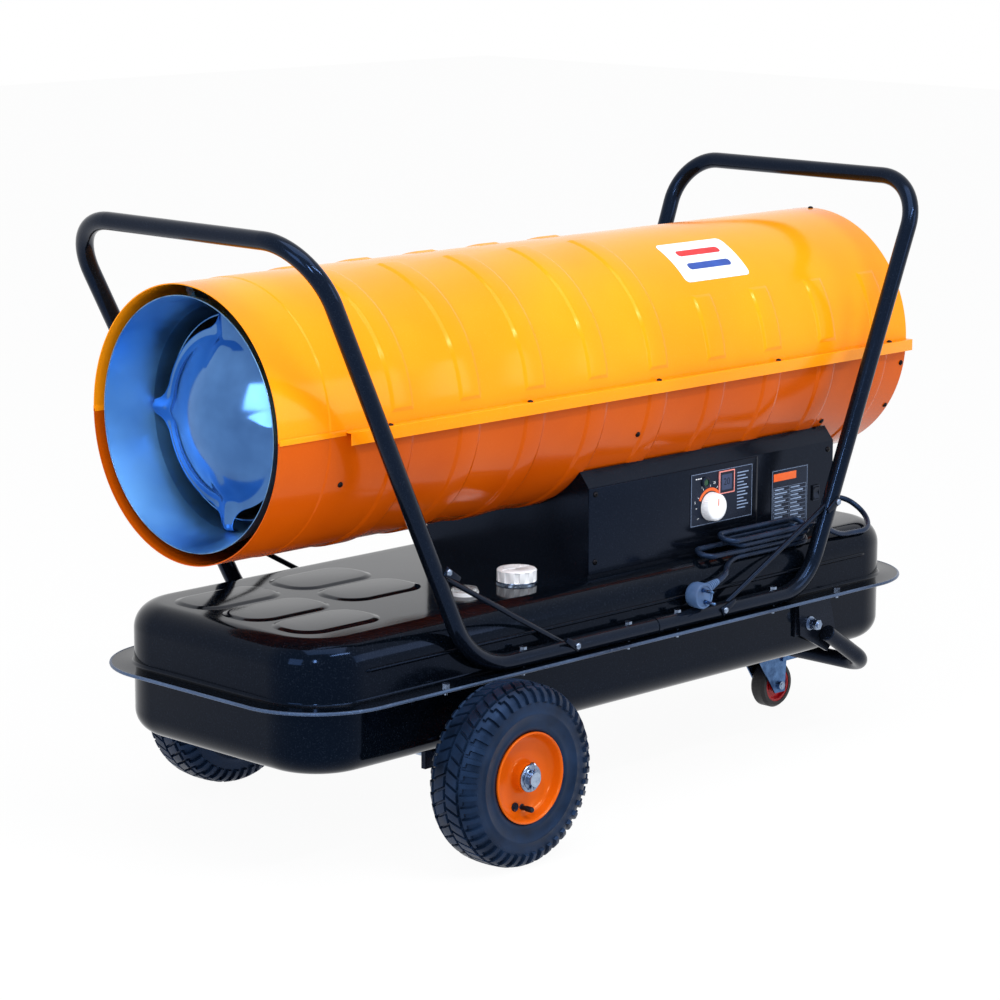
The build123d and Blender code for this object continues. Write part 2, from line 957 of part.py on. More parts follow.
# Control box and its panel
def box_section(inset):
    half = box_half_width - inset
    collar = box_collar_half_width - inset
    shoulder = box_shoulder_height - inset / 2
    collar_z = box_collar_height - inset / 2
    points = [
        (0, -half, tank_top),
        (0, -half, shoulder),
        (0, -collar, collar_z),
        (0, -collar, barrel_height),
        (0, collar, barrel_height),
        (0, collar, collar_z),
        (0, half, shoulder),
        (0, half, tank_top),
    ]
    return make_face(Polyline(*points, close=True))


def control_box():
    half = box_half_width
    outer = Pos(box_front, 0, 0) * extrude(box_section(0), box_length, dir=(1, 0, 0))
    room = extrude(box_section(plate), box_length - plate * 2, dir=(1, 0, 0))
    inner = Pos(box_front + plate, 0, 0) * room
    inner = inner & block(box_front, box_rear, -half, half, tank_top + plate, barrel_height)
    saddle_radius = barrel_radius + band_height
    saddle = rod_x(saddle_radius, box_front - plate, box_rear + plate, 0, barrel_height)
    box = outer - inner - saddle
    wall_out, wall_in = -half - plate, plate * 2 - half
    window_front, window_rear = box_front + window_inset, cover_rear - plate * 8
    window_low, window_high = cover_low + plate * 8, cover_high - plate * 5
    box -= block(window_front, window_rear, wall_out, wall_in, window_low, window_high)
    box -= panel(switch_x, switch_z, switch_width / 2, switch_height / 2, wall_out, wall_in)
    for x, z in cover_screw_places():
        box -= rod_y(screw_radius + hole_gap, wall_out, wall_in, x, z)
    gland_hole = gland_radius + hole_gap
    return box - rod_x(gland_hole, box_rear - plate * 2, box_rear + plate, gland_y, gland_z)


def panel_cuts(front, back):
    """Knob stem, lamp and display openings through a sheet on the control side."""
    return (
        rod_y(knob_stem + hole_gap, front, back, knob_x, knob_z),
        rod_y(lamp_radius, front, back, lamp_x, lamp_z),
        panel(display_x, display_z, display_half, display_half, front, back),
    )


def side_cover():
    front, back = cover_face - plate, plate - box_half_width
    cover = block(box_front, cover_rear, cover_face, -box_half_width, cover_low, cover_high)
    for cut in panel_cuts(front, back):
        cover -= cut
    for x, z in cover_screw_places():
        cover -= rod_y(screw_radius + hole_gap, front, back, x, z)
    return cover


def face_plates():
    low = tank_top + label_rise
    label_rear = label_front + label_length
    label = block(label_front, label_rear, label_face, cover_face, low, low + label_height)
    for cut in panel_cuts(label_face - plate, cover_face + plate):
        label -= cut
    face = -box_half_width
    low = tank_top + rating_rise
    rating_rear = rating_front + rating_length
    rating = block(rating_front, rating_rear, face - label_thickness, face, low, low + rating_height)
    return Compound(children=[label, rating])


def thermostat_knob():
    low = label_face - free_gap
    outline = [
        (0, low - knob_depth),
        (knob_radius * 0.8, low - knob_depth),
        (knob_radius * 0.95, low - knob_depth * 0.8),
        (knob_radius, low - knob_depth * 0.1),
        (knob_radius, low),
        (0, low),
    ]
    stem = rod_y(knob_stem, low - plate, thermostat_face + plate * 4, knob_x, knob_z)
    return lathe_y(outline, knob_x, knob_z) + stem


def panel_inserts():
    face, wall, inside = thermostat_face, -box_half_width, knob_depth - box_half_width
    body = rod_y(knob_radius * 0.7, face, face + knob_depth, knob_x, knob_z)
    body -= rod_y(knob_stem + running_gap, face - plate, face + plate * 5, knob_x, knob_z)
    strap_start, half = knob_x - knob_radius * 1.6, plate * 3
    strap_end, foot_end = knob_x - knob_radius * 0.55, knob_x - knob_radius * 1.2
    body += block(strap_start, strap_end, face, face + plate, knob_z - half, knob_z + half)
    body += block(strap_start, foot_end, wall, face + plate, knob_z - half, knob_z + half)
    bezel_back = knob_depth / 2 - box_half_width
    bezel = panel(display_x, display_z, display_half, display_half, label_face - plate, bezel_back)
    window = display_window_half
    bezel -= panel(display_x, display_z, window, window, label_face - plate * 2, label_face)
    half_w, half_h = switch_width / 2, switch_height / 2
    out = wall - plate * 1.5
    housing = panel(switch_x, switch_z, half_w, half_h, out, inside)
    well_w, well_h = half_w - plate * 0.75, half_h - plate
    housing -= panel(switch_x, switch_z, well_w, well_h, out - plate, wall + plate * 5)
    return Compound(children=[body, bezel, housing])


def display_window():
    window = display_window_half
    return panel(display_x, display_z, window, window, label_face - plate * 0.8, label_face)


def pilot_lamp():
    front = label_face - plate
    lamp = rod_y(lamp_radius, front, knob_depth - box_half_width, lamp_x, lamp_z)
    return lamp + rod_y(lamp_radius * 1.25, front, label_face, lamp_x, lamp_z)


def power_rocker():
    half_w = switch_width / 2 - plate * 0.75 - running_gap * 2
    pivot = plate - box_half_width
    long = switch_height / 2 - plate - switch_travel_gap
    points = [
        (0, pivot + plate, switch_z - long * 0.45),
        (0, pivot - plate * 2.2, switch_z - long),
        (0, pivot - plate * 3.1, switch_z - long * 0.96),
        (0, pivot - plate * 1.7, switch_z),
        (0, pivot - plate * 3.1, switch_z + long * 0.96),
        (0, pivot - plate * 2.2, switch_z + long),
        (0, pivot + plate, switch_z + long * 0.45),
    ]
    face = make_face(Polyline(*points, close=True))
    return Pos(switch_x - half_w, 0, 0) * extrude(face, half_w * 2, dir=(1, 0, 0))


def control_electronics():
    floor = tank_top + plate
    board_low = floor + standoff
    board_top = board_low + plate
    rear, far = board_front + board_length, board_near + board_width
    board = block(board_front, rear, board_near, far, board_low, board_top)
    for x in (board_front + standoff, rear - standoff):
        for y in (board_near + standoff, far - standoff):
            board += rod_z(plate * 1.5, floor, board_low, x, y)
    relay_x, relay_y = board_front + relay_height, board_near + relay_height * 0.75
    relay_end, relay_far = relay_x + relay_length, relay_y + relay_length
    board += block(relay_x, relay_end, relay_y, relay_far, board_top, board_top + relay_height)
    coil_x, coil_y = rear + standoff, board_near + relay_height
    coil_end, coil_far = coil_x + coil_length, coil_y + coil_width
    coil = block(coil_x, coil_end, coil_y, coil_far, floor, floor + coil_height)
    for share in (0.25, 0.75):
        post_x = coil_x + coil_length * share
        post_y = coil_y + coil_width / 2
        coil += rod_z(plate * 4, floor + coil_height, floor + coil_height + standoff, post_x, post_y)
    return Compound(children=[board, coil])


# Tank
def rounded_plate(front, rear, half_width, corner, low, high):
    outline = Pos((front + rear) / 2, 0, low) * RectangleRounded(rear - front, half_width * 2, corner)
    return extrude(outline, high - low, dir=(0, 0, 1))


def pan(inset, low, high, rounded_edge, edge_radius):
    """Pressed half of the tank; a hollow one is cut with the same pan made smaller."""
    front, rear = body_front + inset, body_rear - inset
    solid = rounded_plate(front, rear, body_half_width - inset, body_corner - inset, low, high)
    edges = solid.edges().filter_by(lambda e: abs(e.center().Z - rounded_edge) < weld_overlap)
    return fillet(edges, edge_radius - inset)


def pan_upper(inset):
    low = flange_bottom if inset else tank_flange_height
    return pan(inset, low, tank_top - inset, tank_top - inset, tank_top_edge)


def pan_lower(inset):
    high = flange_top if inset else tank_flange_height
    return pan(inset, tank_bottom + inset, high, tank_bottom + inset, tank_bottom_edge)


def pad_places():
    front = [(pad_front_x, pad_pitch * row) for row in (1, 0, -1)]
    return front + [(pad_rear_x, pad_pitch * row) for row in (1, 0)]


def flange_bolt_y():
    return body_half_width + tank_inset / 2


def flange_holes():
    radius = bolt_radius + hole_gap
    low, high = flange_bottom - bolt_tail, rail_height + tube_radius * 2
    holes = []
    for side in (-1, 1):
        holes += [rod_z(radius, low, high, x, side * rail_half_width) for x in rail_bolt_places()]
        holes += [rod_z(radius, low, high, x, side * flange_bolt_y()) for x in flange_bolt_places]
    return holes


def rail_bolt_places():
    return [joint_x + offset for offset in rail_bolt_offsets]


def tank_upper():
    shell = pan_upper(0)
    for x, y in pad_places():
        pad = Pos(x, y, tank_top - weld_overlap) * RectangleRounded(pad_length, pad_width, pad_corner)
        shell += extrude(pad, pad_height + weld_overlap, dir=(0, 0, 1))
    bead_z = tank_top - side_bead_rise
    bead_start, bead_end = body_front + body_corner, body_rear - body_corner
    for side in (-1, 1):
        shell += rod_x(pad_height, bead_start, bead_end, side * body_half_width, bead_z)
    rim = (tank_front, tank_rear, tank_half_width, tank_corner)
    shell += rounded_plate(*rim, tank_flange_height, flange_top)
    shell -= pan_upper(plate)
    low, high = tank_top - plate * 3, tank_top + plate * 3
    shell -= rod_z(neck_radius - plate, low, high, cap_x, cap_y)
    shell -= rod_z(gauge_radius * 0.6, low, high, gauge_x, gauge_y)
    for hole in flange_holes():
        shell -= hole
    return shell


def tank_lower():
    shell = pan_lower(0)
    rim = (tank_front, tank_rear, tank_half_width, tank_corner)
    shell += rounded_plate(*rim, flange_bottom, tank_flange_height)
    shell -= pan_lower(plate)
    for hole in flange_holes():
        shell -= hole
    return shell - rod_z(drain_radius * 0.6, tank_bottom - plate, tank_bottom + plate * 2, drain_x)


def filler_neck():
    bore, foot = neck_radius - plate * 2, neck_radius + plate * 3
    outline = [
        (bore, tank_top),
        (foot, tank_top),
        (foot, tank_top + plate),
        (neck_radius, tank_top + plate),
        (neck_radius, gasket_low),
        (bore, gasket_low),
    ]
    return lathe_z(outline, cap_x, cap_y)


def cap_gasket():
    inner, top = neck_radius - plate * 2.5, gasket_low + gasket_height
    outline = [(inner, gasket_low), (neck_radius, gasket_low), (neck_radius, top), (inner, top)]
    return lathe_z(outline, cap_x, cap_y)


def fuel_cap():
    cap = rod_z(cap_radius, cap_low, cap_top, cap_x, cap_y)
    rim = cap.edges().filter_by(lambda e: e.center().Z > cap_top - weld_overlap)
    cap = fillet(rim, plate)
    notch_radius, notch_place = plate * 2.2, cap_radius + plate * 1.2
    for k in range(cap_notches):
        turn = Pos(cap_x, cap_y, 0) * Rot(0, 0, full_turn * (k + 0.5) / cap_notches)
        cap -= turn * rod_z(notch_radius, cap_low - plate, cap_top + plate, notch_place)
    hollow_top = gasket_low + gasket_height
    return cap - rod_z(neck_radius + hole_gap, cap_low - plate, hollow_top, cap_x, cap_y)


def gauge_body():
    waist, collar = gauge_radius * 0.55, gauge_deck + plate
    outline = [
        (plate, tank_top - plate * 5),
        (waist, tank_top - plate * 5),
        (waist, tank_top),
        (gauge_radius, tank_top),
        (gauge_radius, collar),
        (gauge_radius - plate, collar),
        (gauge_radius - plate, gauge_deck),
        (plate, gauge_deck),
    ]
    body = lathe_z(outline, gauge_x, gauge_y)
    ear, half = tank_top - plate * 9, plate / 2
    for side in (-1, 1):
        y = gauge_y + side * plate * 2.5
        front, rear = gauge_x - plate * 2, gauge_x + plate * 2
        body += block(front, rear, y - half, y + half, ear, tank_top - plate * 4)
    pin_hole, reach = plate * 0.75 + running_gap, plate * 4
    return body - rod_y(pin_hole, gauge_y - reach, gauge_y + reach, gauge_x, float_pivot_z)


def gauge_lens():
    top, skin = gauge_deck + plate * 3, plate * 0.6
    outline = [
        (gauge_radius - plate, gauge_deck + plate),
        (gauge_radius, gauge_deck + plate),
        (gauge_radius * 0.9, top),
        (0, top),
        (0, top - skin),
        (gauge_radius * 0.84, top - skin),
    ]
    return lathe_z(outline, gauge_x, gauge_y)


def gauge_pointer():
    low = gauge_deck + sliding_gap
    top, half = low + plate * 0.6, plate / 2
    pointer = rod_z(plate, low, top, gauge_x, gauge_y)
    tip = gauge_x + gauge_radius * 0.7
    pointer += block(gauge_x, tip, gauge_y - half, gauge_y + half, low, top)
    stem_low, stem_top = tank_top - plate * 4, low + plate * 0.3
    return pointer + rod_z(plate - running_gap, stem_low, stem_top, gauge_x, gauge_y)


def gauge_float():
    z = float_pivot_z
    inner_half = plate * 2 - sliding_gap
    pin = rod_y(plate * 0.75, gauge_y - plate * 3, gauge_y + plate * 3, gauge_x, z)
    hub = rod_y(plate * 1.4, gauge_y - inner_half, gauge_y + inner_half, gauge_x, z)
    slope = math.degrees(math.atan2(float_drop, float_reach))
    length = math.hypot(float_drop, float_reach)
    arm = Pos(gauge_x, gauge_y, z) * Rot(0, slope, 0) * rod_x(plate * 0.6, 0, length)
    ball = Pos(gauge_x + float_reach, gauge_y, z - float_drop) * Cylinder(float_radius, float_height)
    return pin + hub + arm + ball


def drain_plug():
    plug_head = rod_z(drain_radius, tank_bottom - plate * 3, tank_bottom, drain_x)
    stem = drain_radius * 0.6 - hole_gap
    return plug_head + rod_z(stem, tank_bottom - plate, tank_bottom + plate * 3, drain_x)


# Wheels and axle
def axle():
    reach = wheel_half_track + hub_half_length + plate * 6
    rod = rod_y(axle_radius, -reach, reach, wheel_x, wheel_radius)
    low, high = wheel_radius - axle_radius * 2, wheel_radius + axle_radius * 2
    for side in (-1, 1):
        rod -= rod_z(cotter_radius + hole_gap, low, high, wheel_x, side * cotter_y)
    return rod


def axle_brackets():
    solids = []
    half_foot, half_cheek = bracket_foot_length / 2, bracket_cheek_length / 2
    for side in (-1, 1):
        y = side * bracket_half_track
        near, far = y - bracket_foot_width / 2, y + bracket_foot_width / 2
        foot_low = tank_bottom - plate * 1.5
        bracket = block(wheel_x - half_foot, wheel_x + half_foot, near, far, foot_low, tank_bottom)
        start, end = y - bracket_cheek_width / 2, y + bracket_cheek_width / 2
        cheek_low, cheek_top = wheel_radius - axle_radius * 2, tank_bottom - plate
        bracket += block(wheel_x - half_cheek, wheel_x + half_cheek, start, end, cheek_low, cheek_top)
        solids.append(bracket - rod_y(axle_radius, near, far, wheel_x, wheel_radius))
    return Compound(children=solids)


def axle_hardware():
    solids = []
    outer = wheel_half_track + hub_half_length + free_gap
    inner = wheel_half_track - hub_half_length - free_gap
    for side in (-1, 1):
        for low, high in ((outer, outer + plate), (inner - plate, inner)):
            start, end = sorted((side * low, side * high))
            washer = rod_y(hub_radius * 0.9, start, end, wheel_x, wheel_radius)
            washer -= rod_y(axle_radius, start - plate, end + plate, wheel_x, wheel_radius)
            solids.append(washer)
        y = side * cotter_y
        low, high = wheel_radius - axle_radius * 1.8, wheel_radius + axle_radius * 1.5
        eye_place = Pos(wheel_x, y, wheel_radius + axle_radius * 1.9) * Rot(0, quarter_turn, 0)
        eye = eye_place * Torus(cotter_radius * 2, cotter_radius * 0.8)
        solids.append(rod_z(cotter_radius, low, high, wheel_x, y) + eye)
    return Compound(children=solids)


def tyre(side):
    y = side * wheel_half_track
    half = tyre_width / 2
    profile = [
        (bead_radius, -half * 0.74),
        (bead_radius * 1.16, -half * 0.9),
        (wheel_radius * 0.74, -half),
        (wheel_radius * 0.87, -half * 0.97),
        (wheel_radius * 0.965, -half * 0.8),
        (wheel_radius * 0.99, -half * 0.45),
        (wheel_radius, 0),
    ]
    cavity = [
        (bead_radius, half * 0.54),
        (bead_radius * 1.2, half * 0.74),
        (wheel_radius * 0.78, half * 0.82),
        (wheel_radius * 0.88, half * 0.62),
        (wheel_radius * 0.92, 0),
    ]
    outline = []
    for points in (profile, cavity):
        outline += points + [(r, -w) for r, w in points[-2::-1]]
    return lathe_y([(r, y + w) for r, w in outline], wheel_x, wheel_radius)


def rim(side):
    y, half, inner = side * wheel_half_track, rim_half_width, bead_radius - rim_wall
    outline = [(inner, -half), (bead_radius, -half), (bead_radius, half), (inner, half)]
    band = lathe_y([(r, y + w) for r, w in outline], wheel_x, wheel_radius)
    disc = half * 0.45
    start, end = sorted((y + side * disc, y + side * (disc + rim_wall)))
    web = rod_y(bead_radius - rim_wall / 2, start, end, wheel_x, wheel_radius)
    valve_z = wheel_radius - valve_hole_reach
    web -= rod_y(valve_hole_radius, y - half, y + half, wheel_x, valve_z)
    hub = rod_y(hub_radius, y - hub_half_length, y + hub_half_length, wheel_x, wheel_radius)
    bore = rod_y(axle_radius + running_gap, y - half * 2, y + half * 2, wheel_x, wheel_radius)
    return band + web + hub - bore


# Caster
def caster_bolt_places():
    half_x, half_y = caster_hole_pitch_x / 2, caster_hole_pitch_y / 2
    return [(caster_x + dx, dy) for dx in (-half_x, half_x) for dy in (-half_y, half_y)]


def caster_rectangle(low, high):
    half_x, half_y = caster_plate_length / 2, caster_plate_width / 2
    return block(caster_x - half_x, caster_x + half_x, -half_y, half_y, low, high)


def caster_plate():
    top, low = caster_plate_top, caster_plate_top - caster_plate_thickness
    solid = caster_rectangle(low, top)
    for x, y in caster_bolt_places():
        solid -= rod_z(bolt_radius + hole_gap, low - plate, top + plate, x, y)
    race_low = low - race_height
    pin_low = race_low - plate * 5
    solid += rod_z(race_radius, race_low, low, caster_x)
    solid += rod_z(kingpin_radius, pin_low, race_low, caster_x)
    collar_top = fork_top - fork_crown_height - seat_gap
    return solid + rod_z(kingpin_collar_radius, pin_low, collar_top, caster_x)


def caster_fork():
    crown_low = fork_top - fork_crown_height
    crown = rod_z(race_radius + plate / 2, crown_low, fork_top, caster_x)
    half = caster_width * 0.75
    cheek_top = fork_top - plate
    tail = caster_axle_x + kingpin_radius
    crown += block(caster_x, tail, -half, half, crown_low, cheek_top)
    eye = caster_axle_radius * 3
    points = [
        (caster_x - eye * 1.67, 0, fork_top - plate * 2),
        (caster_axle_x + eye * 1.33, 0, fork_top - plate * 2),
        (caster_axle_x + eye, 0, caster_radius - eye),
        (caster_axle_x - eye, 0, caster_radius - eye),
    ]
    leg = extrude(make_face(Polyline(*points, close=True)), fork_wall, dir=(0, 1, 0))
    for start in (-fork_outer, fork_inner):
        crown += Pos(0, start, 0) * leg
    reach = fork_outer * 2
    crown -= rod_z(kingpin_radius + running_gap, crown_low - plate, fork_top + plate, caster_x)
    crown -= rod_y(caster_axle_radius + hole_gap, -reach, reach, caster_axle_x, caster_radius)
    return crown - rod_y(pedal_pin_radius, -reach, reach, pedal_x, pedal_z)


def caster_bolt():
    reach = fork_outer
    end = reach + plate * 3
    bolt = rod_y(caster_axle_radius, -end, end, caster_axle_x, caster_radius)
    for start in (-reach - caster_nut_height, reach):
        nut_end = start + caster_nut_height
        bolt += rod_y(caster_nut_radius, start, nut_end, caster_axle_x, caster_radius)
    return bolt


def caster_wheel():
    half = caster_width / 2
    bore, boss = caster_axle_radius + running_gap, half + plate * 0.75
    hub, dish, rim_foot = caster_axle_radius * 2.5, half * 0.5, caster_core_radius - plate * 2
    edge = half * 0.92
    side = [
        (bore, boss),
        (hub, boss),
        (hub + plate, dish),
        (rim_foot - plate, dish),
        (rim_foot, edge),
        (caster_core_radius, edge),
    ]
    outline = [(r, -w) for r, w in side] + side[::-1]
    return lathe_y(outline, caster_axle_x, caster_radius)


def caster_tread():
    half = caster_width / 2
    shoulder, crown = caster_radius - plate * 2, half - plate * 2.5
    outline = [
        (caster_core_radius, -half),
        (shoulder, -half),
        (caster_radius, -crown),
        (caster_radius, crown),
        (shoulder, half),
        (caster_core_radius, half),
    ]
    return lathe_y(outline, caster_axle_x, caster_radius)


def brake_pedal():
    x, z, width = pedal_x, pedal_z, fork_outer + plate * 2
    pedal = rod_y(pedal_pin_radius - running_gap, -width, width, x, z)
    low, high = z - pedal_side_height + plate * 2.5, z + plate * 2.5
    for side in (-1, 1):
        start, end = sorted((side * (fork_outer + free_gap), side * width))
        pedal += block(x - plate * 3, x + pedal_reach - plate * 6, start, end, low, high)
    tread_start = x + pedal_reach - plate * 9
    pedal += block(tread_start, x + pedal_reach, -width, width, z + plate / 2, high)
    half, shoe_end = caster_width / 2 - plate, x + plate * 9
    pedal += block(x, shoe_end, -half, half, z - plate / 2, z + plate)
    return pedal + block(x + plate * 4, shoe_end, -half, half, z - plate * 4, z + plate)


def caster_frame():
    share = 0.2
    start_x = frame_pivot_x + (frame_bar_x - frame_pivot_x) * share
    start_z = frame_pivot_z + (frame_bar_z - frame_pivot_z) * share
    path = [
        (start_x, -frame_half_width, start_z),
        (frame_bar_x, -frame_half_width, frame_bar_z),
        (frame_bar_x, frame_half_width, frame_bar_z),
        (start_x, frame_half_width, start_z),
    ]
    frame = swept_tube(path, frame_bend, tube_radius, tube_bore)
    lug = frame_lug()
    frame += lug
    frame += mirrored(lug)
    pad = caster_rectangle(caster_plate_top, mount_pad_top)
    for x, y in caster_bolt_places():
        pad -= rod_z(bolt_radius + hole_gap, caster_plate_top - plate, mount_pad_top + plate, x, y)
    half_x, half_y = mount_web_length / 2, caster_plate_width * 0.44
    low, high = caster_plate_top + plate, frame_bar_z - tube_radius + weld_overlap * 4
    web = block(frame_bar_x - half_x, frame_bar_x + half_x, -half_y, half_y, low, high)
    web -= rod_y(tube_bore, -caster_plate_width, caster_plate_width, frame_bar_x, frame_bar_z)
    return frame + pad + web


def frame_lug():
    """Flat plate on the near end of the bent tube, from the tank's flange down to the pivot and the tube."""
    x, z = frame_pivot_x, frame_pivot_z
    outline = [
        (x + dx, 0, z + dz) for dx, dz in lug_corners
    ]
    outline = [(x + lug_top_front, 0, flange_bottom), (x + lug_top_rear, 0, flange_bottom)] + outline
    lug = extrude(make_face(Polyline(*outline, close=True)), lug_outer - lug_inner, dir=(0, 1, 0))
    lug = Pos(0, -lug_outer, 0) * lug
    return lug - rod_y(pivot_radius + hole_gap, -frame_half_width, 0, x, z)


def frame_brackets():
    solids = []
    front, rear = frame_pivot_x - backing_front, frame_pivot_x + backing_rear
    low = frame_pivot_z - backing_drop
    for side in (-1, 1):
        near, far = sorted((side * body_half_width, side * lug_inner))
        solids.append(block(front, rear, near, far, low, flange_bottom))
    head = bolt_radius * 1.7
    plate_low = caster_plate_top - caster_plate_thickness
    for x, y in caster_bolt_places():
        bolt = rod_z(bolt_radius, plate_low - plate * 2, mount_pad_top, x, y)
        bolt += hex_z(head, mount_pad_top, mount_pad_top + plate * 1.5, x, y)
        solids.append(bolt + hex_z(head, plate_low - plate * 1.2, plate_low, x, y))
    return Compound(children=solids)


# Handle frames
def frame_path(corner_x, bar_x, bar_z, bar_half):
    return [
        (joint_x, -rail_half_width, rail_height),
        (corner_x, -rail_half_width, rail_height),
        (bar_x, -bar_half, bar_z),
        (bar_x, bar_half, bar_z),
        (corner_x, rail_half_width, rail_height),
        (joint_x, rail_half_width, rail_height),
    ]


def front_tube(outer, inner=0):
    path = frame_path(front_corner_x, front_bar_x, front_bar_z, front_bar_half)
    bends = [front_rail_bend, front_top_bend, front_top_bend, front_rail_bend]
    return swept_tube(path, bends, outer, inner)


def rear_tube(outer, inner=0):
    path = frame_path(rear_corner_x, rear_bar_x, rear_bar_z, rear_bar_half)
    bends = [rear_rail_bend, rear_top_bend, rear_top_bend, rear_rail_bend]
    return swept_tube(path, bends, outer, inner)


def front_handle():
    frame = front_tube(tube_radius, tube_bore)
    start, end = joint_x - joint_collar_length, joint_x
    low = rail_height - tube_radius
    for side in (-1, 1):
        y = side * rail_half_width
        collar = rod_x(tube_radius + plate / 2, start, end, y, rail_height)
        collar -= rod_x(tube_radius - weld_overlap, start - plate, end + plate, y, rail_height)
        collar -= block(start - plate, end + plate, -tank_half_width, tank_half_width, 0, low)
        frame += collar
    for hole in flange_holes():
        frame -= hole
    return frame


def rear_handle():
    frame = rear_tube(tube_radius, tube_bore)
    wall = tube_bore - sheet * 1.4
    start, end = joint_x - spigot_length, joint_x + plate * 5
    for side in (-1, 1):
        y = side * rail_half_width
        spigot = rod_x(tube_bore - hole_gap, start, end, y, rail_height)
        spigot += rod_x(tube_bore, joint_x + plate, end, y, rail_height)
        frame += spigot - rod_x(wall, start - plate, end + plate, y, rail_height)
    for hole in flange_holes():
        frame -= hole
    return frame


def leg_point(corner_x, bar_x, bar_z, bar_half, z):
    share = (z - rail_height) / (bar_z - rail_height)
    x = corner_x + (bar_x - corner_x) * share
    y = rail_half_width + (bar_half - rail_half_width) * share
    return x, -y, z


def straight_rod(start, end, radius):
    line = Line(start, end)
    plane = Plane(origin=line @ 0, z_dir=line % 0)
    return extrude(plane * Circle(radius), line.length)


def brace_rods():
    front_top = leg_point(front_corner_x, front_bar_x, front_bar_z, front_bar_half, front_brace_top)
    rear_top = leg_point(rear_corner_x, rear_bar_x, rear_bar_z, rear_bar_half, rear_brace_top)
    ends = (
        (front_top, (front_brace_foot, -rail_half_width, rail_height)),
        (rear_top, (rear_brace_foot, -rail_half_width, rail_height)),
    )
    front, rear = front_tube(tube_radius), rear_tube(tube_radius)
    trimmed = []
    for start, end in ends:
        rod = straight_rod(start, end, brace_radius) - front - rear
        piece = sorted(rod.solids(), key=lambda s: s.volume)[-1]
        trimmed += [piece, mirrored(piece)]
    return Compound(children=trimmed)


def flange_bolt(x, y, top):
    tail, nut_low = flange_bottom - bolt_tail, flange_bottom - bolt_head_height * 1.25
    bolt = rod_z(bolt_radius, tail, top, x, y)
    bolt += hex_z(bolt_head_radius, top, top + bolt_head_height, x, y)
    return bolt + hex_z(bolt_head_radius, nut_low, flange_bottom, x, y)


def pivot_bolt():
    """Near pivot of the caster frame: a washer, a nut and a second nut along one stud."""
    x, z, face = frame_pivot_x, frame_pivot_z, -lug_outer
    bolt = rod_y(pivot_radius, face - plate * 10, -lug_inner, x, z)
    bolt += rod_y(pivot_washer_radius, face - plate, face, x, z)
    bolt += hex_y(pivot_nut_radius, face - plate * 4.5, face - plate, x, z)
    return bolt + hex_y(pivot_nut_radius, face - plate * 9, face - plate * 5.5, x, z)


def frame_bolts():
    solids = []
    rail_top = rail_height + tube_radius
    for side in (-1, 1):
        solids += [flange_bolt(x, side * rail_half_width, rail_top) for x in rail_bolt_places()]
        solids += [flange_bolt(x, side * flange_bolt_y(), flange_top) for x in flange_bolt_places]
    pivot = pivot_bolt()
    return Compound(children=solids + [pivot, mirrored(pivot)])


# Power lead
def cord_gland():
    x, y, z = box_rear, gland_y, gland_z
    gland = rod_x(gland_radius, x - plate * 3, x + gland_length, y, z)
    gland += rod_x(gland_radius * 1.35, x, x + plate * 3, y, z)
    gland += rod_x(gland_radius * 1.25, x - plate * 4, x - plate, y, z)
    return gland - rod_x(cord_radius, x - plate * 5, x + gland_length + plate, y, z)


def run_radii(points):
    """Bend radii for a free run: each arc takes at most a share of its shorter neighbour."""
    bend_share = 0.45
    radii = []
    for before, here, after in zip(points, points[1:], points[2:]):
        first, second = Vector(*here) - Vector(*before), Vector(*after) - Vector(*here)
        half_bend = math.radians(first.get_angle(second)) / 2
        radii.append(bend_share * min(first.length, second.length) / math.tan(half_bend))
    return radii


def hank_place(level, across):
    """Place across the leaning stack: level counts loops up, across runs from near to far side."""
    tilt = math.radians(hank_tilt)
    lift, reach = hank_pitch * level, hank_width * across
    y = hank_near_y - math.sin(tilt) * lift + math.cos(tilt) * reach
    z = hank_near_z + math.cos(tilt) * lift + math.sin(tilt) * reach
    return y, z


def hank_runs():
    """Straight runs in order: the near side runs back, the far side forward half a level higher."""
    runs = []
    lefts = [box_rear - end for end in (hank_first,) + hank_left_ends]
    rights = [box_rear - end for end in hank_right_ends + (hank_last,)]
    for level, (left, right) in enumerate(zip(lefts, rights)):
        y, z = hank_place(level, 0)
        runs.append((Vector(left, y, z), Vector(right, y, z)))
        if level + 1 < len(lefts):
            y, z = hank_place(level + 0.5, 1)
            runs.append((Vector(right, y, z), Vector(lefts[level + 1], y, z)))
    return runs


def hank_path():
    pieces = []
    runs = hank_runs()
    for (start, end), (follow, _) in zip(runs, runs[1:]):
        heading = (end - start).normalized()
        middle = (end + follow) * 0.5 + heading * ((follow - end).length / 2)
        pieces += [Line(start, end), ThreePointArc(end, middle, follow)]
    pieces.append(Line(*runs[-1]))
    return Wire([piece.edge() for piece in pieces])


def least_self_gap(path, radius):
    """Least free space between stretches of the same tube, measured on evenly spread points."""
    count = int(path.length / radius * 2)
    points = [path.position_at(k / count) for k in range(count + 1)]
    skip = int(radius * 2 * math.pi * count / path.length) + 2
    least = path.length
    for i, a in enumerate(points):
        for b in points[i + skip:]:
            least = min(least, (a - b).length)
    return least - radius * 2


def round_tube(name, path):
    plane = Plane(origin=path @ 0, z_dir=path % 0)
    tube = sweep(plane * Circle(cord_radius), path=path)
    ratio = tube.volume / (path.length * math.pi * cord_radius ** 2)
    print(name, "length", round(path.length, 1), "volume over section times length", round(ratio, 4))
    return tube


def cord_hank():
    path = hank_path()
    print("hank least gap to itself", round(least_self_gap(path, cord_radius), 2))
    return round_tube("hank", path)


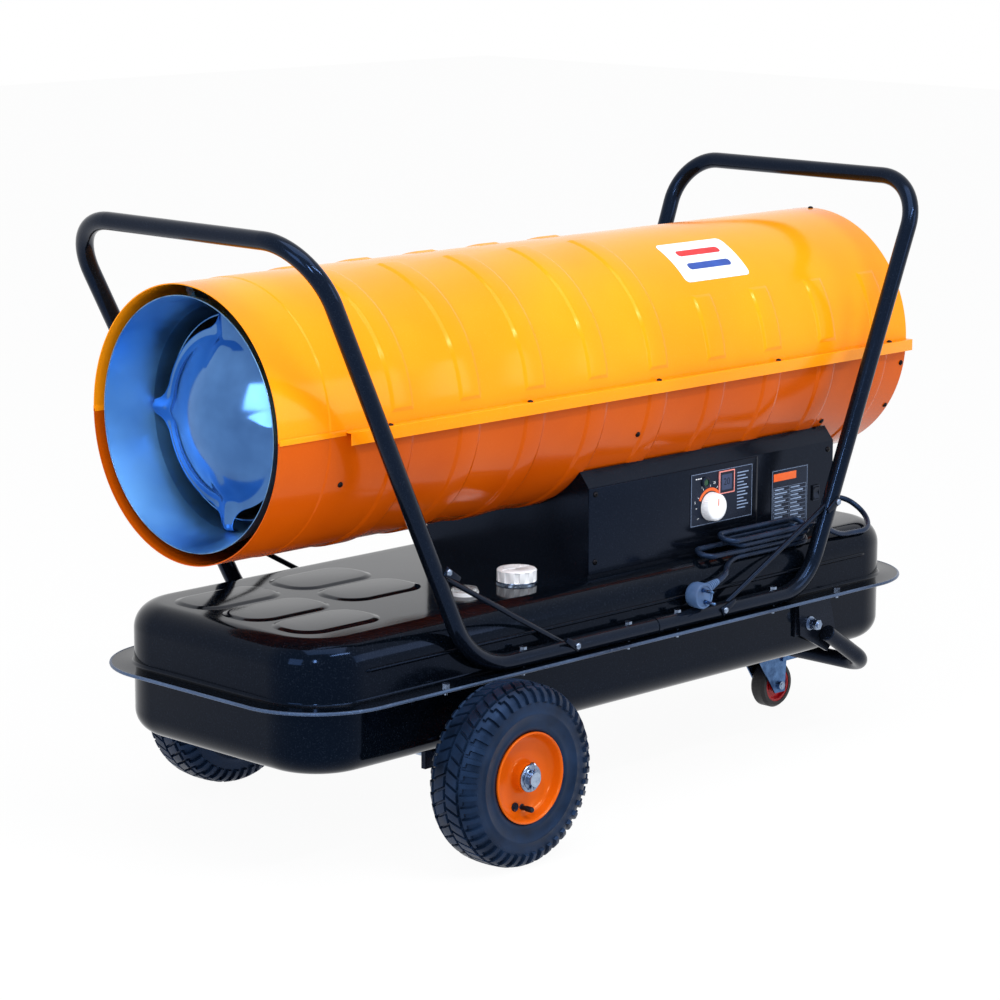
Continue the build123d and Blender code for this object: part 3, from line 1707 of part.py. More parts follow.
def gland_run():
    start_x = box_rear + gland_length
    run = [(start_x, gland_y, gland_z)]
    for past, inward, rise in gland_run_points:
        run.append((box_rear + past, inward - body_half_width, tank_top + rise))
    y, z = hank_place(len(hank_left_ends), 0)
    end_x = box_rear - hank_last
    return run + [(end_x + cord_radius * 4, y, z), (end_x, y, z)]


def plug_relief_y():
    return plug_back - plug_depth * 0.4


def plug_run():
    y, z = hank_place(0, 0)
    lean = math.radians(plug_lean)
    relief_y = plug_relief_y()
    reach = plug_radius + plug_relief_length
    along = reach + cord_radius * 4.65
    start_x = box_rear - hank_first
    return [
        (start_x, y, z),
        (start_x - cord_radius * 5.6, y, z),
        (start_x - cord_radius * 12, y - plate * 4, z - tube_bore * 0.7),
        (plug_x + along * math.cos(lean), relief_y, plug_z + along * math.sin(lean)),
        (plug_x + reach * math.cos(lean), relief_y, plug_z + reach * math.sin(lean)),
    ]


def power_cord():
    tubes = []
    for name, run in (("gland run", gland_run()), ("plug run", plug_run())):
        radii = run_radii(run)
        print(name, "radii", [round(r, 1) for r in radii])
        tubes.append(round_tube(name, FilletPolyline(*run, radius=radii)).solid())
    return Compound(children=tubes)


def plug():
    face, recess = plug_back - plug_depth, plug_radius * 0.78
    body = rod_y(plug_radius, face, plug_back)
    rear_edge = body.edges().filter_by(lambda e: e.center().Y > plug_back - weld_overlap)
    body = fillet(rear_edge, plug_radius * 0.45)
    body -= rod_y(recess, face - plate, face + plate)
    overlap = plug_radius * 0.5
    cone = Cone(overlap, cord_radius * 1.25, plug_relief_length + overlap)
    relief_x = plug_radius * 0.75 + plug_relief_length / 2
    body += Pos(relief_x, plug_relief_y(), 0) * Rot(0, quarter_turn, 0) * cone
    root = face + plate + weld_overlap
    for side in (-1, 1):
        pin_z = side * pin_pitch / 2
        body += rod_y(pin_radius, face - pin_length, root, 0, pin_z)
        body += rod_y(pin_radius * 1.5, face, root, 0, pin_z)
    return Pos(plug_x, 0, plug_z) * Rot(0, -plug_lean, 0) * body


def save(name, shape):
    export_step(shape, os.path.join("parts", name + ".step"))


def save_all():
    makers = (
        upper_shell, lower_shell, sheet_screws, outlet_cone, outlet_liner, combustion_chamber,
        flame_deflector, burner_plate, burner_nozzle, burner_probes, fan, motor_shaft, motor,
        motor_bracket, air_pump, fan_guard, fuel_line, air_line, control_box, side_cover,
        face_plates, thermostat_knob, panel_inserts, display_window, pilot_lamp, power_rocker,
        control_electronics, tank_upper, tank_lower, filler_neck, cap_gasket, fuel_cap,
        gauge_body, gauge_lens, gauge_pointer, gauge_float, drain_plug, axle, axle_brackets,
        axle_hardware, caster_plate, caster_fork, caster_bolt, caster_wheel, caster_tread,
        brake_pedal, front_handle, rear_handle, brace_rods, frame_bolts, caster_frame,
        frame_brackets, cord_gland, power_cord, cord_hank, plug,
    )
    for maker in makers:
        save(maker.__name__, maker())
    for name, side in (("near", -1), ("far", 1)):
        save("tyre_" + name, tyre(side))
        save("rim_" + name, rim(side))
    print("nodes", len(makers) + 4)


os.makedirs("parts", exist_ok=True)
save_all()
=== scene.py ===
import math

import bpy
from mathutils import Matrix, Vector


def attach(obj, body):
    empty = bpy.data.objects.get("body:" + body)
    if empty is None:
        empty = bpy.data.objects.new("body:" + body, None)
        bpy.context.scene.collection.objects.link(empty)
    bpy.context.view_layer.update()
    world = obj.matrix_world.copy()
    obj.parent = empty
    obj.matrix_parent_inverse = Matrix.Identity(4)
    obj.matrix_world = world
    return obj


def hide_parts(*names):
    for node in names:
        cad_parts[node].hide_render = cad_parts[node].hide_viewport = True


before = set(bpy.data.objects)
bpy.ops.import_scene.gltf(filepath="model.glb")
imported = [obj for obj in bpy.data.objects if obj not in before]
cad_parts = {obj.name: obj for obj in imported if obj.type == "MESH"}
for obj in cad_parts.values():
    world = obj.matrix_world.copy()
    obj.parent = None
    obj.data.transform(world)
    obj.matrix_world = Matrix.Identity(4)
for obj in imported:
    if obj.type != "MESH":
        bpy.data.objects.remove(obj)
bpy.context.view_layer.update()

# Lengths are in metres; millimetre sizes are written as numbers times mm
mm = 0.001
full_turn = math.tau
half_turn = math.pi
quarter_turn = math.pi / 2

# Heater sizes shared by the pieces
barrel_height = 619 * mm
barrel_radius = 193.5 * mm
barrel_front = -663 * mm
barrel_rear = 664 * mm
box_face = -168 * mm
cover_face = box_face - 1.5 * mm


# Camera
def set_camera():
    turn, tilt, roll = math.radians(-45.47), math.radians(11.22), math.radians(0.17)
    lens = bpy.data.cameras.new("photo_camera")
    lens.lens = 120.57
    lens.sensor_width = 36
    lens.clip_end = 60
    camera = bpy.data.objects.new("photo_camera", lens)
    bpy.context.scene.collection.objects.link(camera)
    place = Matrix.Translation((-3.5305, -3.4189, 1.3993))
    facing = Matrix.Rotation(turn, 4, "Z") @ Matrix.Rotation(quarter_turn - tilt, 4, "X")
    camera.matrix_world = place @ facing @ Matrix.Rotation(roll, 4, "Z")
    bpy.context.scene.camera = camera


set_camera()
bpy.context.scene.view_settings.view_transform = "Standard"


# Material helpers
def ink(red, green, blue):
    """Linear colour from the usual 0 to 255 values."""
    linear = []
    for value in (red, green, blue):
        share = value / 255
        linear.append(share / 12.92 if share <= 0.04045 else ((share + 0.055) / 1.055) ** 2.4)
    return (*linear, 1)


def new_finish(name, colour, roughness, metallic=0.0, coat=0.0, ior=1.5, tint=(1, 1, 1, 1)):
    finish = bpy.data.materials.new(name)
    finish.use_nodes = True
    shader = finish.node_tree.nodes["Principled BSDF"]
    shader.inputs["Base Color"].default_value = colour
    shader.inputs["Roughness"].default_value = roughness
    shader.inputs["Metallic"].default_value = metallic
    shader.inputs["Coat Weight"].default_value = coat
    shader.inputs["Coat Roughness"].default_value = 0.05
    shader.inputs["Specular Tint"].default_value = tint
    shader.inputs["IOR"].default_value = ior
    return finish, finish.node_tree, shader


def grain(tree, scale, detail=2.0, stretch=(1, 1, 1), roughness=0.5):
    """Noise on the piece's own coordinates, stretched where the real surface is brushed or rolled."""
    place = tree.nodes.new("ShaderNodeTexCoord")
    mapping = tree.nodes.new("ShaderNodeMapping")
    mapping.inputs["Scale"].default_value = stretch
    noise = tree.nodes.new("ShaderNodeTexNoise")
    noise.inputs["Scale"].default_value = scale
    noise.inputs["Detail"].default_value = detail
    noise.inputs["Roughness"].default_value = roughness
    tree.links.new(place.outputs["Object"], mapping.inputs["Vector"])
    tree.links.new(mapping.outputs["Vector"], noise.inputs["Vector"])
    return noise.outputs["Fac"]


def spread(tree, source, low, high, start=0.3, end=0.7):
    """Turn a noise value into a range between two numbers."""
    node = tree.nodes.new("ShaderNodeMapRange")
    node.inputs["From Min"].default_value = start
    node.inputs["From Max"].default_value = end
    node.inputs["To Min"].default_value = low
    node.inputs["To Max"].default_value = high
    tree.links.new(source, node.inputs["Value"])
    return node.outputs["Result"]


def blend_colours(tree, share, first, second):
    """Mix two colours, each a value or a node's output, by a share."""
    node = tree.nodes.new("ShaderNodeMix")
    node.data_type = "RGBA"
    tree.links.new(share, node.inputs["Factor"])
    sockets = [s for s in node.inputs if s.type == "RGBA"]
    for socket, colour in zip(sockets, (first, second)):
        if isinstance(colour, tuple):
            socket.default_value = colour
        else:
            tree.links.new(colour, socket)
    return [s for s in node.outputs if s.type == "RGBA"][0]


def surface_relief(tree, shader, height, strength, depth):
    bump = tree.nodes.new("ShaderNodeBump")
    bump.inputs["Strength"].default_value = strength
    bump.inputs["Distance"].default_value = depth
    tree.links.new(height, bump.inputs["Height"])
    tree.links.new(bump.outputs["Normal"], shader.inputs["Normal"])
    return bump


def paint_finish(name, colour, deep, dust, dust_share, roughness, peel, ior=1.4, tint=(1, 1, 1, 1)):
    """Sprayed paint: slow tone changes, fine dust and a slight orange peel."""
    finish, tree, shader = new_finish(name, colour, roughness, ior=ior, tint=tint)
    tone = spread(tree, grain(tree, 4.0, 3.0), 0.0, 1.0)
    base = blend_colours(tree, tone, colour, deep)
    specks = spread(tree, grain(tree, 420.0, 4.0, roughness=0.7), 0.0, dust_share, 0.55, 0.78)
    coloured = blend_colours(tree, specks, base, dust)
    tree.links.new(coloured, shader.inputs["Base Color"])
    smears = spread(tree, grain(tree, 9.0, 4.0), roughness * 0.75, roughness * 1.4)
    tree.links.new(smears, shader.inputs["Roughness"])
    surface_relief(tree, shader, grain(tree, 260.0, 2.0), peel, 0.0004)
    return finish


def metal_finish(name, colour, tarnish_and_dark_reflection, roughness, stretch=(1, 1, 1), scale=40.0, relief=0.1):
    """Bare or plated metal with brushed or blotchy tone changes; on the dome the dark blotches are painted
    reflection.
    """
    finish, tree, shader = new_finish(name, colour, roughness, metallic=1.0)
    blotches = spread(tree, grain(tree, scale, 5.0, stretch, 0.6), 0.0, 1.0)
    tree.links.new(blend_colours(tree, blotches, colour, tarnish_and_dark_reflection), shader.inputs["Base Color"])
    rub = spread(tree, grain(tree, scale * 2.5, 4.0, stretch), roughness * 0.6, roughness * 1.5)
    tree.links.new(rub, shader.inputs["Roughness"])
    surface_relief(tree, shader, grain(tree, scale * 6, 2.0, stretch), relief, 0.0002)
    return finish


def moulded_finish(name, colour, worn, roughness, relief=0.15, scale=900.0, tint=(1, 1, 1, 1)):
    """Moulded plastic or rubber with a fine texture and slightly paler patches."""
    finish, tree, shader = new_finish(name, colour, roughness, ior=1.4, tint=tint)
    patches = spread(tree, grain(tree, 30.0, 5.0), 0.0, 1.0)
    tree.links.new(blend_colours(tree, patches, colour, worn), shader.inputs["Base Color"])
    rub = spread(tree, grain(tree, 60.0, 3.0), roughness * 0.8, roughness * 1.25)
    tree.links.new(rub, shader.inputs["Roughness"])
    surface_relief(tree, shader, grain(tree, scale, 2.0), relief, 0.0002)
    return finish


def clear_finish(name, colour, roughness, ior=1.49):
    finish, tree, shader = new_finish(name, colour, roughness, ior=ior)
    shader.inputs["Transmission Weight"].default_value = 0.85
    haze = spread(tree, grain(tree, 80.0, 3.0), roughness * 0.6, roughness * 2.0)
    tree.links.new(haze, shader.inputs["Roughness"])
    return finish


# Finishes of this heater
pale_dust = ink(110, 128, 156)
cool_tint = (0.22, 0.42, 0.95, 1)
warm_tint = (1, 0.62, 0.3, 1)
orange_paint = paint_finish(
    "orange_paint", ink(250, 150, 16), ink(244, 136, 8), ink(255, 200, 110), 0.12, 0.14, 0.05, 1.36,
    warm_tint,
)
# Lower shell's orange is the upper shell's paint darkened as painted shade, standing for less light under
# the crown
painted_shade_orange = paint_finish(
    "painted_shade_orange", ink(196, 82, 4), ink(180, 70, 2), ink(226, 130, 60), 0.12, 0.14, 0.05, 1.3, warm_tint,
)
wheel_paint = paint_finish(
    "wheel_paint", ink(206, 90, 8), ink(190, 76, 4), ink(230, 136, 60), 0.1, 0.18, 0.06, 1.36, warm_tint,
)
tank_paint = paint_finish(
    "tank_paint", ink(3, 6, 12), ink(2, 4, 8), pale_dust, 0.08, 0.1, 0.05, 1.24, cool_tint,
)
tube_paint = paint_finish(
    "tube_paint", ink(8, 12, 20), ink(5, 8, 13), pale_dust, 0.06, 0.14, 0.06, 1.34, cool_tint,
)
box_paint = paint_finish(
    "box_paint", ink(7, 10, 17), ink(4, 6, 11), pale_dust, 0.06, 0.16, 0.08, 1.3, cool_tint,
)
rubbed_paint = paint_finish(
    "rubbed_paint", ink(20, 26, 38), ink(70, 88, 116), ink(140, 160, 190), 0.5, 0.3, 0.1, 1.4, cool_tint,
)
bracket_paint = paint_finish(
    "bracket_paint", ink(10, 13, 20), ink(7, 9, 14), pale_dust, 0.1, 0.24, 0.08, 1.3, cool_tint,
)
motor_paint = paint_finish("motor_paint", ink(52, 58, 66), ink(40, 44, 52), pale_dust, 0.15, 0.38, 0.1)
liner_steel = metal_finish(
    "liner_steel", ink(132, 196, 250), ink(104, 168, 226), 0.42, (1, 1, 1), 3.0, 0.02,
)
# The dome's dark blue blotches are painted reflection, dark patches that stand for a dark room mirrored in
# the steel
dome_steel = metal_finish("dome_steel", ink(98, 146, 208), ink(40, 74, 128), 0.12, (1, 1, 1), 3.0, 0.04)
burner_steel = metal_finish("burner_steel", ink(128, 126, 124), ink(84, 74, 66), 0.42)
zinc = metal_finish("zinc", ink(92, 126, 172), ink(42, 66, 102), 0.3, (1, 1, 1), 60.0, 0.15)
bolt_steel = metal_finish("bolt_steel", ink(160, 176, 200), ink(92, 108, 134), 0.24, (1, 1, 1), 120.0, 0.1)
bright_edge = metal_finish("bright_edge", ink(120, 164, 206), ink(70, 112, 158), 0.3)
black_screw = metal_finish("black_screw", ink(34, 34, 38), ink(20, 20, 24), 0.36, (1, 1, 1), 120.0, 0.1)
axle_steel = metal_finish("axle_steel", ink(172, 188, 210), ink(104, 120, 146), 0.22, (1, 8, 1), 60.0, 0.1)
tyre_rubber = moulded_finish("tyre_rubber", ink(7, 15, 27), ink(19, 34, 56), 0.42, 0.35, 420.0, cool_tint)
tread_rubber = moulded_finish("tread_rubber", ink(24, 23, 26), ink(38, 37, 42), 0.5, 0.3)
red_core = moulded_finish("red_core", ink(196, 14, 30), ink(150, 8, 20), 0.3, 0.1)
black_plastic = moulded_finish(
    "black_plastic", ink(13, 14, 18), ink(24, 26, 31), 0.34, 0.15, 900.0, cool_tint,
)
white_plastic = moulded_finish("white_plastic", ink(238, 240, 244), ink(228, 231, 237), 0.34, 0.08)
cord_jacket = moulded_finish("cord_jacket", ink(12, 18, 29), ink(26, 38, 58), 0.26, 0.12, 700.0, cool_tint)
plug_rubber = moulded_finish("plug_rubber", ink(52, 78, 116), ink(80, 108, 148), 0.5, 0.25)
hose_rubber = moulded_finish("hose_rubber", ink(20, 20, 22), ink(34, 34, 36), 0.5)
gasket_rubber = moulded_finish("gasket_rubber", ink(26, 24, 24), ink(40, 38, 38), 0.6)
probe_ceramic = moulded_finish("probe_ceramic", ink(226, 222, 210), ink(196, 188, 170), 0.3)
circuit_board = moulded_finish("circuit_board", ink(22, 84, 52), ink(16, 64, 40), 0.4)
print_black = moulded_finish("print_black", ink(12, 15, 23), ink(20, 24, 33), 0.28, 0.05, 900.0, cool_tint)
print_white = moulded_finish("print_white", ink(236, 239, 244), ink(222, 227, 235), 0.35, 0.03)
print_grey = moulded_finish("print_grey", ink(140, 160, 192), ink(118, 138, 170), 0.35, 0.03)
print_orange = moulded_finish("print_orange", ink(236, 104, 40), ink(222, 90, 30), 0.35, 0.03)
print_red = moulded_finish("print_red", ink(206, 40, 44), ink(186, 32, 38), 0.35, 0.03)
print_blue = moulded_finish("print_blue", ink(34, 72, 156), ink(28, 60, 136), 0.35, 0.03)
print_rose = moulded_finish("print_rose", ink(232, 150, 146), ink(226, 130, 120), 0.35, 0.03)
display_glass = moulded_finish("display_glass", ink(44, 58, 92), ink(34, 46, 76), 0.1, 0.02, 200.0)
lamp_lens = clear_finish("lamp_lens", ink(30, 150, 90), 0.12)
clear_lens = clear_finish("clear_lens", ink(236, 240, 242), 0.06)

node_finishes = {
    orange_paint: ("upper_shell",),
    painted_shade_orange: ("lower_shell",),
    wheel_paint: ("rim_near", "rim_far"),
    tank_paint: ("tank_upper", "tank_lower", "drain_plug"),
    tube_paint: ("front_handle", "rear_handle", "brace_rods"),
    box_paint: ("control_box", "side_cover"),
    bracket_paint: ("axle_brackets", "caster_frame", "frame_brackets"),
    motor_paint: ("motor", "motor_bracket", "air_pump"),
    liner_steel: ("outlet_cone", "outlet_liner"),
    dome_steel: ("flame_deflector",),
    burner_steel: ("combustion_chamber", "burner_plate", "burner_nozzle"),
    zinc: ("caster_plate", "caster_fork", "brake_pedal", "fan"),
    bolt_steel: ("frame_bolts", "caster_bolt", "axle_hardware"),
    black_screw: ("sheet_screws", "fan_guard"),
    axle_steel: ("axle", "motor_shaft", "filler_neck"),
    tyre_rubber: ("tyre_near", "tyre_far"),
    tread_rubber: ("caster_tread",),
    red_core: ("caster_wheel",),
    black_plastic: ("panel_inserts", "power_rocker", "cord_gland"),
    white_plastic: ("thermostat_knob", "fuel_cap", "gauge_body", "gauge_pointer", "gauge_float"),
    plug_rubber: ("plug",),
    hose_rubber: ("fuel_line", "air_line"),
    gasket_rubber: ("cap_gasket",),
    probe_ceramic: ("burner_probes",),
    circuit_board: ("control_electronics",),
    print_black: ("face_plates",),
    display_glass: ("display_window",),
    lamp_lens: ("pilot_lamp",),
    clear_lens: ("gauge_lens",),
}

for finish, names in node_finishes.items():
    for name in names:
        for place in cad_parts[name].material_slots:
            place.material = finish


# Modelling helpers
axis_ways = {"X": Vector((1, 0, 0)), "Y": Vector((0, 1, 0)), "Z": Vector((0, 0, 1))}
first_ways = {"X": Vector((0, -1, 0)), "Y": Vector((0, 0, 1)), "Z": Vector((1, 0, 0))}


def select_only(piece):
    bpy.ops.object.select_all(action="DESELECT")
    piece.select_set(True)
    bpy.context.view_layer.objects.active = piece


def open_piece(piece, kind="VERT", selected="SELECT"):
    select_only(piece)
    bpy.ops.object.mode_set(mode="EDIT")
    bpy.ops.mesh.select_mode(type=kind)
    bpy.ops.mesh.select_all(action=selected)


def close_piece():
    bpy.ops.object.mode_set(mode="OBJECT")


def pick(piece, kind, test):
    """Select the corners, edges or faces whose middle passes a test, and stay in edit mode."""
    open_piece(piece, kind, "DESELECT")
    close_piece()
    mesh = piece.data
    if kind == "FACE":
        for face in mesh.polygons:
            face.select = bool(test(face.center, face.normal))
    elif kind == "EDGE":
        for edge in mesh.edges:
            first, second = (mesh.vertices[index].co for index in edge.vertices)
            edge.select = bool(test((first + second) / 2))
    else:
        for corner in mesh.vertices:
            corner.select = bool(test(corner.co))
    bpy.ops.object.mode_set(mode="EDIT")


def point_outwards(piece):
    """Turn every face of a piece outwards."""
    open_piece(piece)
    bpy.ops.mesh.normals_make_consistent(inside=False)
    close_piece()


def settle(piece):
    """Leave the object at the origin, with its place in its mesh."""
    select_only(piece)
    bpy.ops.object.transform_apply(location=True, rotation=True, scale=True)
    return piece


def sized(pairs):
    """Turn pairs of millimetres into metres."""
    return [(a * mm, b * mm) for a, b in pairs]


def ring_outline(along, radius, wire):
    """Round section of a wire ring, as (along, radius) pairs in millimetres."""
    corners = [full_turn * corner / 8 for corner in range(8)]
    return sized([(along + wire * math.cos(turn), radius + wire * math.sin(turn)) for turn in corners])


def start_block(name, low, high):
    """Block between two corners, as a start for a sheet or a bracket."""
    low, high = Vector(low), Vector(high)
    bpy.ops.object.select_all(action="DESELECT")
    bpy.ops.mesh.primitive_cube_add(size=1, location=(low + high) / 2)
    piece = bpy.context.object
    piece.name = name
    piece.scale = high - low
    return settle(piece)


def turned(name, outline, centre, axis, steps=64, angle=full_turn, closed=False, out=None):
    """Turn an outline of (along, radius) pairs about an axis through the centre."""
    way, centre = axis_ways[axis], Vector(centre)
    out = out or first_ways[axis]
    places = [centre + way * along + out * radius for along, radius in outline]
    if closed:
        places.append(places[0])
    bpy.ops.object.select_all(action="DESELECT")
    bpy.ops.mesh.primitive_plane_add(size=mm, location=places[0])
    piece = bpy.context.object
    piece.name = name
    settle(piece)
    open_piece(piece)
    bpy.ops.mesh.merge(type="CENTER")
    for before, after in zip(places, places[1:]):
        bpy.ops.mesh.extrude_region_move(TRANSFORM_OT_translate={"value": after - before})
    bpy.ops.mesh.select_all(action="SELECT")
    bpy.ops.mesh.remove_doubles(threshold=0.001 * mm)
    bpy.ops.mesh.spin(steps=steps, angle=angle, center=centre, axis=way)
    bpy.ops.mesh.select_all(action="SELECT")
    bpy.ops.mesh.remove_doubles(threshold=0.01 * mm)
    if closed and abs(angle) < full_turn:
        bpy.ops.mesh.fill_holes(sides=0)
    bpy.ops.mesh.normals_make_consistent(inside=False)
    close_piece()
    return piece


def modify(piece, kind, **settings):
    select_only(piece)
    modifier = piece.modifiers.new(kind.lower(), kind)
    for key, value in settings.items():
        setattr(modifier, key, value)
    bpy.ops.object.modifier_apply(modifier=modifier.name)


def soften(piece, width, segments=2, angle=30):
    """Round every edge that is sharper than an angle."""
    limit = math.radians(angle)
    modify(piece, "BEVEL", width=width, segments=segments, limit_method="ANGLE", angle_limit=limit)


def thicken(piece, wall, offset=-1):
    modify(piece, "SOLIDIFY", thickness=wall, offset=offset)


def subdivide(piece, levels=1):
    modify(piece, "SUBSURF", levels=levels, render_levels=levels)


def smooth(piece, angle=35):
    select_only(piece)
    bpy.ops.object.shade_smooth_by_angle(angle=math.radians(angle))


def copy_of(piece, placing=Matrix.Identity(4), name=None):
    """Copy a piece with its own mesh and set it down by a matrix."""
    twin = piece.copy()
    twin.data = piece.data.copy()
    twin.name = name or piece.name + "_copy"
    bpy.context.scene.collection.objects.link(twin)
    twin.matrix_world = placing
    bpy.context.view_layer.update()
    return settle(twin)


def joined(name, pieces):
    bpy.ops.object.select_all(action="DESELECT")
    for piece in pieces:
        piece.select_set(True)
    bpy.context.view_layer.objects.active = pieces[0]
    bpy.ops.object.join()
    pieces[0].name = name
    return pieces[0]


def turn_about(centre, axis, angle):
    centre = Vector(centre)
    return Matrix.Translation(centre) @ Matrix.Rotation(angle, 4, axis) @ Matrix.Translation(-centre)


def facing(place, way):
    """Set a piece that was made upright at the origin down at a place, standing along a direction."""
    turn = Vector(way).to_track_quat("Z", "Y").to_matrix().to_4x4()
    return Matrix.Translation(place) @ turn


def dress(piece, finish, body, slot, *nodes):
    """Give a finished piece its material, its body and the nodes that it stands for."""
    piece.data.materials.clear()
    piece.data.materials.append(finish)
    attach(piece, body)
    if nodes:
        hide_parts(*nodes)
    return piece


# Barrel
barrel_axis = Vector((0, 0, barrel_height))
collar_radius = barrel_radius - 1.2 * mm
collar_end = barrel_front + 90 * mm
joggle = 2 * mm
sheet = 1.5 * mm
fold_round = 2 * mm
band_first = -439.5 * mm
band_pitch = 129.4 * mm
band_count = 9
band_full_count = 5
band_foot = 21 * mm
band_slope = 5 * mm
band_height = 2.6 * mm
band_spans = ((4, 82), (4, 36))
seam_front = -546 * mm
seam_reach = 13 * mm
seam_lip = 16 * mm
flange_round = 0.5 * mm
strip_rise = 0.9 * mm
strip_half = 4 * mm
strip_depth = 3 * mm
strip_overlap = 2 * mm
strip_round = 0.4 * mm


def band_number(x):
    """Number of the band that a place along the barrel lies on, or None."""
    for number in range(band_count):
        if abs(x - band_first - band_pitch * number) < band_foot:
            return number
    return None


def seam_angle(place):
    """Degrees up from the nearer seam, on either side of the barrel."""
    return math.degrees(math.atan2(place.z - barrel_height, abs(place.y)))


def on_upper_band(place, normal):
    number = band_number(place.x)
    if number is None:
        return False
    low, high = band_spans[0] if number < band_full_count else band_spans[1]
    return low < seam_angle(place) < high


def half_shell(name, way, on_band):
    """Half of the barrel's sheet, turned over the crown (way 1) or under it (way -1)."""
    outline = [
        (barrel_front, collar_radius),
        (collar_end, collar_radius),
        (collar_end + joggle, barrel_radius),
    ]
    for number in range(band_count):
        centre = band_first + band_pitch * number
        outline += [(centre - band_foot, barrel_radius), (centre + band_foot, barrel_radius)]
    outline.append((barrel_rear, barrel_radius))
    piece = turned(name, outline, barrel_axis, "X", steps=72, angle=way * half_turn)
    pick(piece, "FACE", on_band)
    bpy.ops.mesh.inset(thickness=band_slope, depth=band_height, use_boundary=False)
    close_piece()
    soften(piece, fold_round, 3, 15)
    thicken(piece, sheet)
    smooth(piece, 40)
    return piece


def seam_flange(side):
    """Folded flange of the upper shell: out along the seam, then down over the lower one."""
    inner, outer = barrel_radius - sheet, barrel_radius + seam_reach
    low = (seam_front, -outer, barrel_height)
    flange = start_block("seam_flange", low, (barrel_rear, -inner, barrel_height + sheet))
    open_piece(flange)
    bpy.ops.mesh.bisect(plane_co=(0, sheet - outer, 0), plane_no=(0, 1, 0))
    close_piece()
    edge = sheet - outer
    pick(flange, "FACE", lambda place, normal: normal.z < -0.9 and place.y < edge)
    bpy.ops.mesh.extrude_region_move(TRANSFORM_OT_translate={"value": (0, 0, -seam_lip)})
    close_piece()
    soften(flange, flange_round)
    if side > 0:
        flange = mirrored(flange)
    smooth(flange)
    return flange


def seam_strip(side):
    """Edge of the upper sheet, which laps over the lower one ahead of the flange."""
    low = (barrel_front + mm, -barrel_radius - strip_rise, barrel_height - strip_half)
    high = (seam_front + strip_overlap, -barrel_radius + strip_depth, barrel_height + strip_half)
    strip = start_block("seam_strip", low, high)
    soften(strip, strip_round)
    if side > 0:
        strip = mirrored(strip)
    smooth(strip)
    return strip


def mirrored(piece):
    """Swap a piece's near and far sides."""
    piece.scale.y = -1
    settle(piece)
    point_outwards(piece)
    return piece


def make_barrel():
    upper = half_shell("upper_barrel_shell", 1, on_upper_band)
    lower = half_shell("lower_barrel_shell", -1, lambda place, normal: band_number(place.x) is not None)
    dress(upper, orange_paint, "heater", "barrel_paint", "upper_shell")
    # The lower shell gets the orange darkened as painted shade
    dress(lower, painted_shade_orange, "heater", "barrel_paint", "lower_shell")
    for side, name in ((-1, "seam_flange_near"), (1, "seam_flange_far")):
        flange = joined(name, [seam_flange(side), seam_strip(side)])
        dress(flange, orange_paint, "heater", "barrel_paint", "upper_shell")


# Sheet screws
screw_outline = (
    (0, 0), (0, 4.2), (1.2, 4.1), (2.2, 3.2), (2.8, 1.9), (2.9, 1.4), (1.4, 1.2), (1.4, 0),
)
seam_screw_first = -468.6 * mm
seam_screw_pitch = 270.4 * mm
side_screws = ((-543, -22), (52, -24), (504, -37), (656, -11), (656, -34))
cover_screws = ((-30, 460.9), (-30, 360.1), (320.9, 351.1))
box_screw = (505, 458.9)


def screw_places():
    """Place and direction of every small screw in the barrel and the box."""
    places = []
    for number in range(5):
        x = seam_screw_first + seam_screw_pitch * number
        for side in (-1, 1):
            y = side * (barrel_radius + seam_reach / 2)
            places.append(((x, y, barrel_height + sheet), (0, 0, 1)))
    for x, angle in side_screws:
        for side in (-1, 1):
            rise = math.radians(angle)
            way = Vector((0, side * math.cos(rise), math.sin(rise)))
            places.append((Vector((x * mm, 0, barrel_height)) + way * barrel_radius, way))
    places.append(((side_screws[-1][0] * mm, 0, barrel_height + barrel_radius), (0, 0, 1)))
    places += [((x, cover_face, z), (0, -1, 0)) for x, z in sized(cover_screws)]
    places += [((x, box_face, z), (0, -1, 0)) for x, z in sized([box_screw])]
    return places


def make_screws():
    screw = turned("screw", sized(screw_outline), (0, 0, 0), "Z", steps=24)
    smooth(screw, 40)
    copies = [copy_of(screw, facing(place, way)) for place, way in screw_places()]
    bpy.data.objects.remove(screw)
    screws = joined("dome_screws", copies)
    dress(screws, black_screw, "heater", "screw_metal", "sheet_screws")


# Outlet
deflector_x = -586 * mm
liner_inner = 158.5 * mm
dome_depth = 42 * mm
dome_radius = 110
dome_radii = (0, 14, 28, 42, 56, 70, 82, 92, 100, 106, dome_radius)
dome_sheet = 1.5 * mm
arm_root_radius = 125.5 * mm
arm_half_width = 34 * mm
arm_foot = 14 * mm
# Length and narrowing of each step of an arm
arm_steps = ((8, 0.6), (10, 0.62), (13.5, 0.78))
# Half width, distance from the axis and rise of each step of an arm's crease
crease_steps = ((14, 78, 1.6), (8, 88, 2.2), (3.5, 96, 2.4))


def dome_outline():
    outline = []
    for radius in dome_radii:
        share = radius / dome_radius
        outline.append((deflector_x - 2 * mm - dome_depth * (1 - share * share), radius * mm))
    return outline + [(deflector_x, 114 * mm), (deflector_x + mm, 120 * mm), (deflector_x - mm, 126 * mm)]


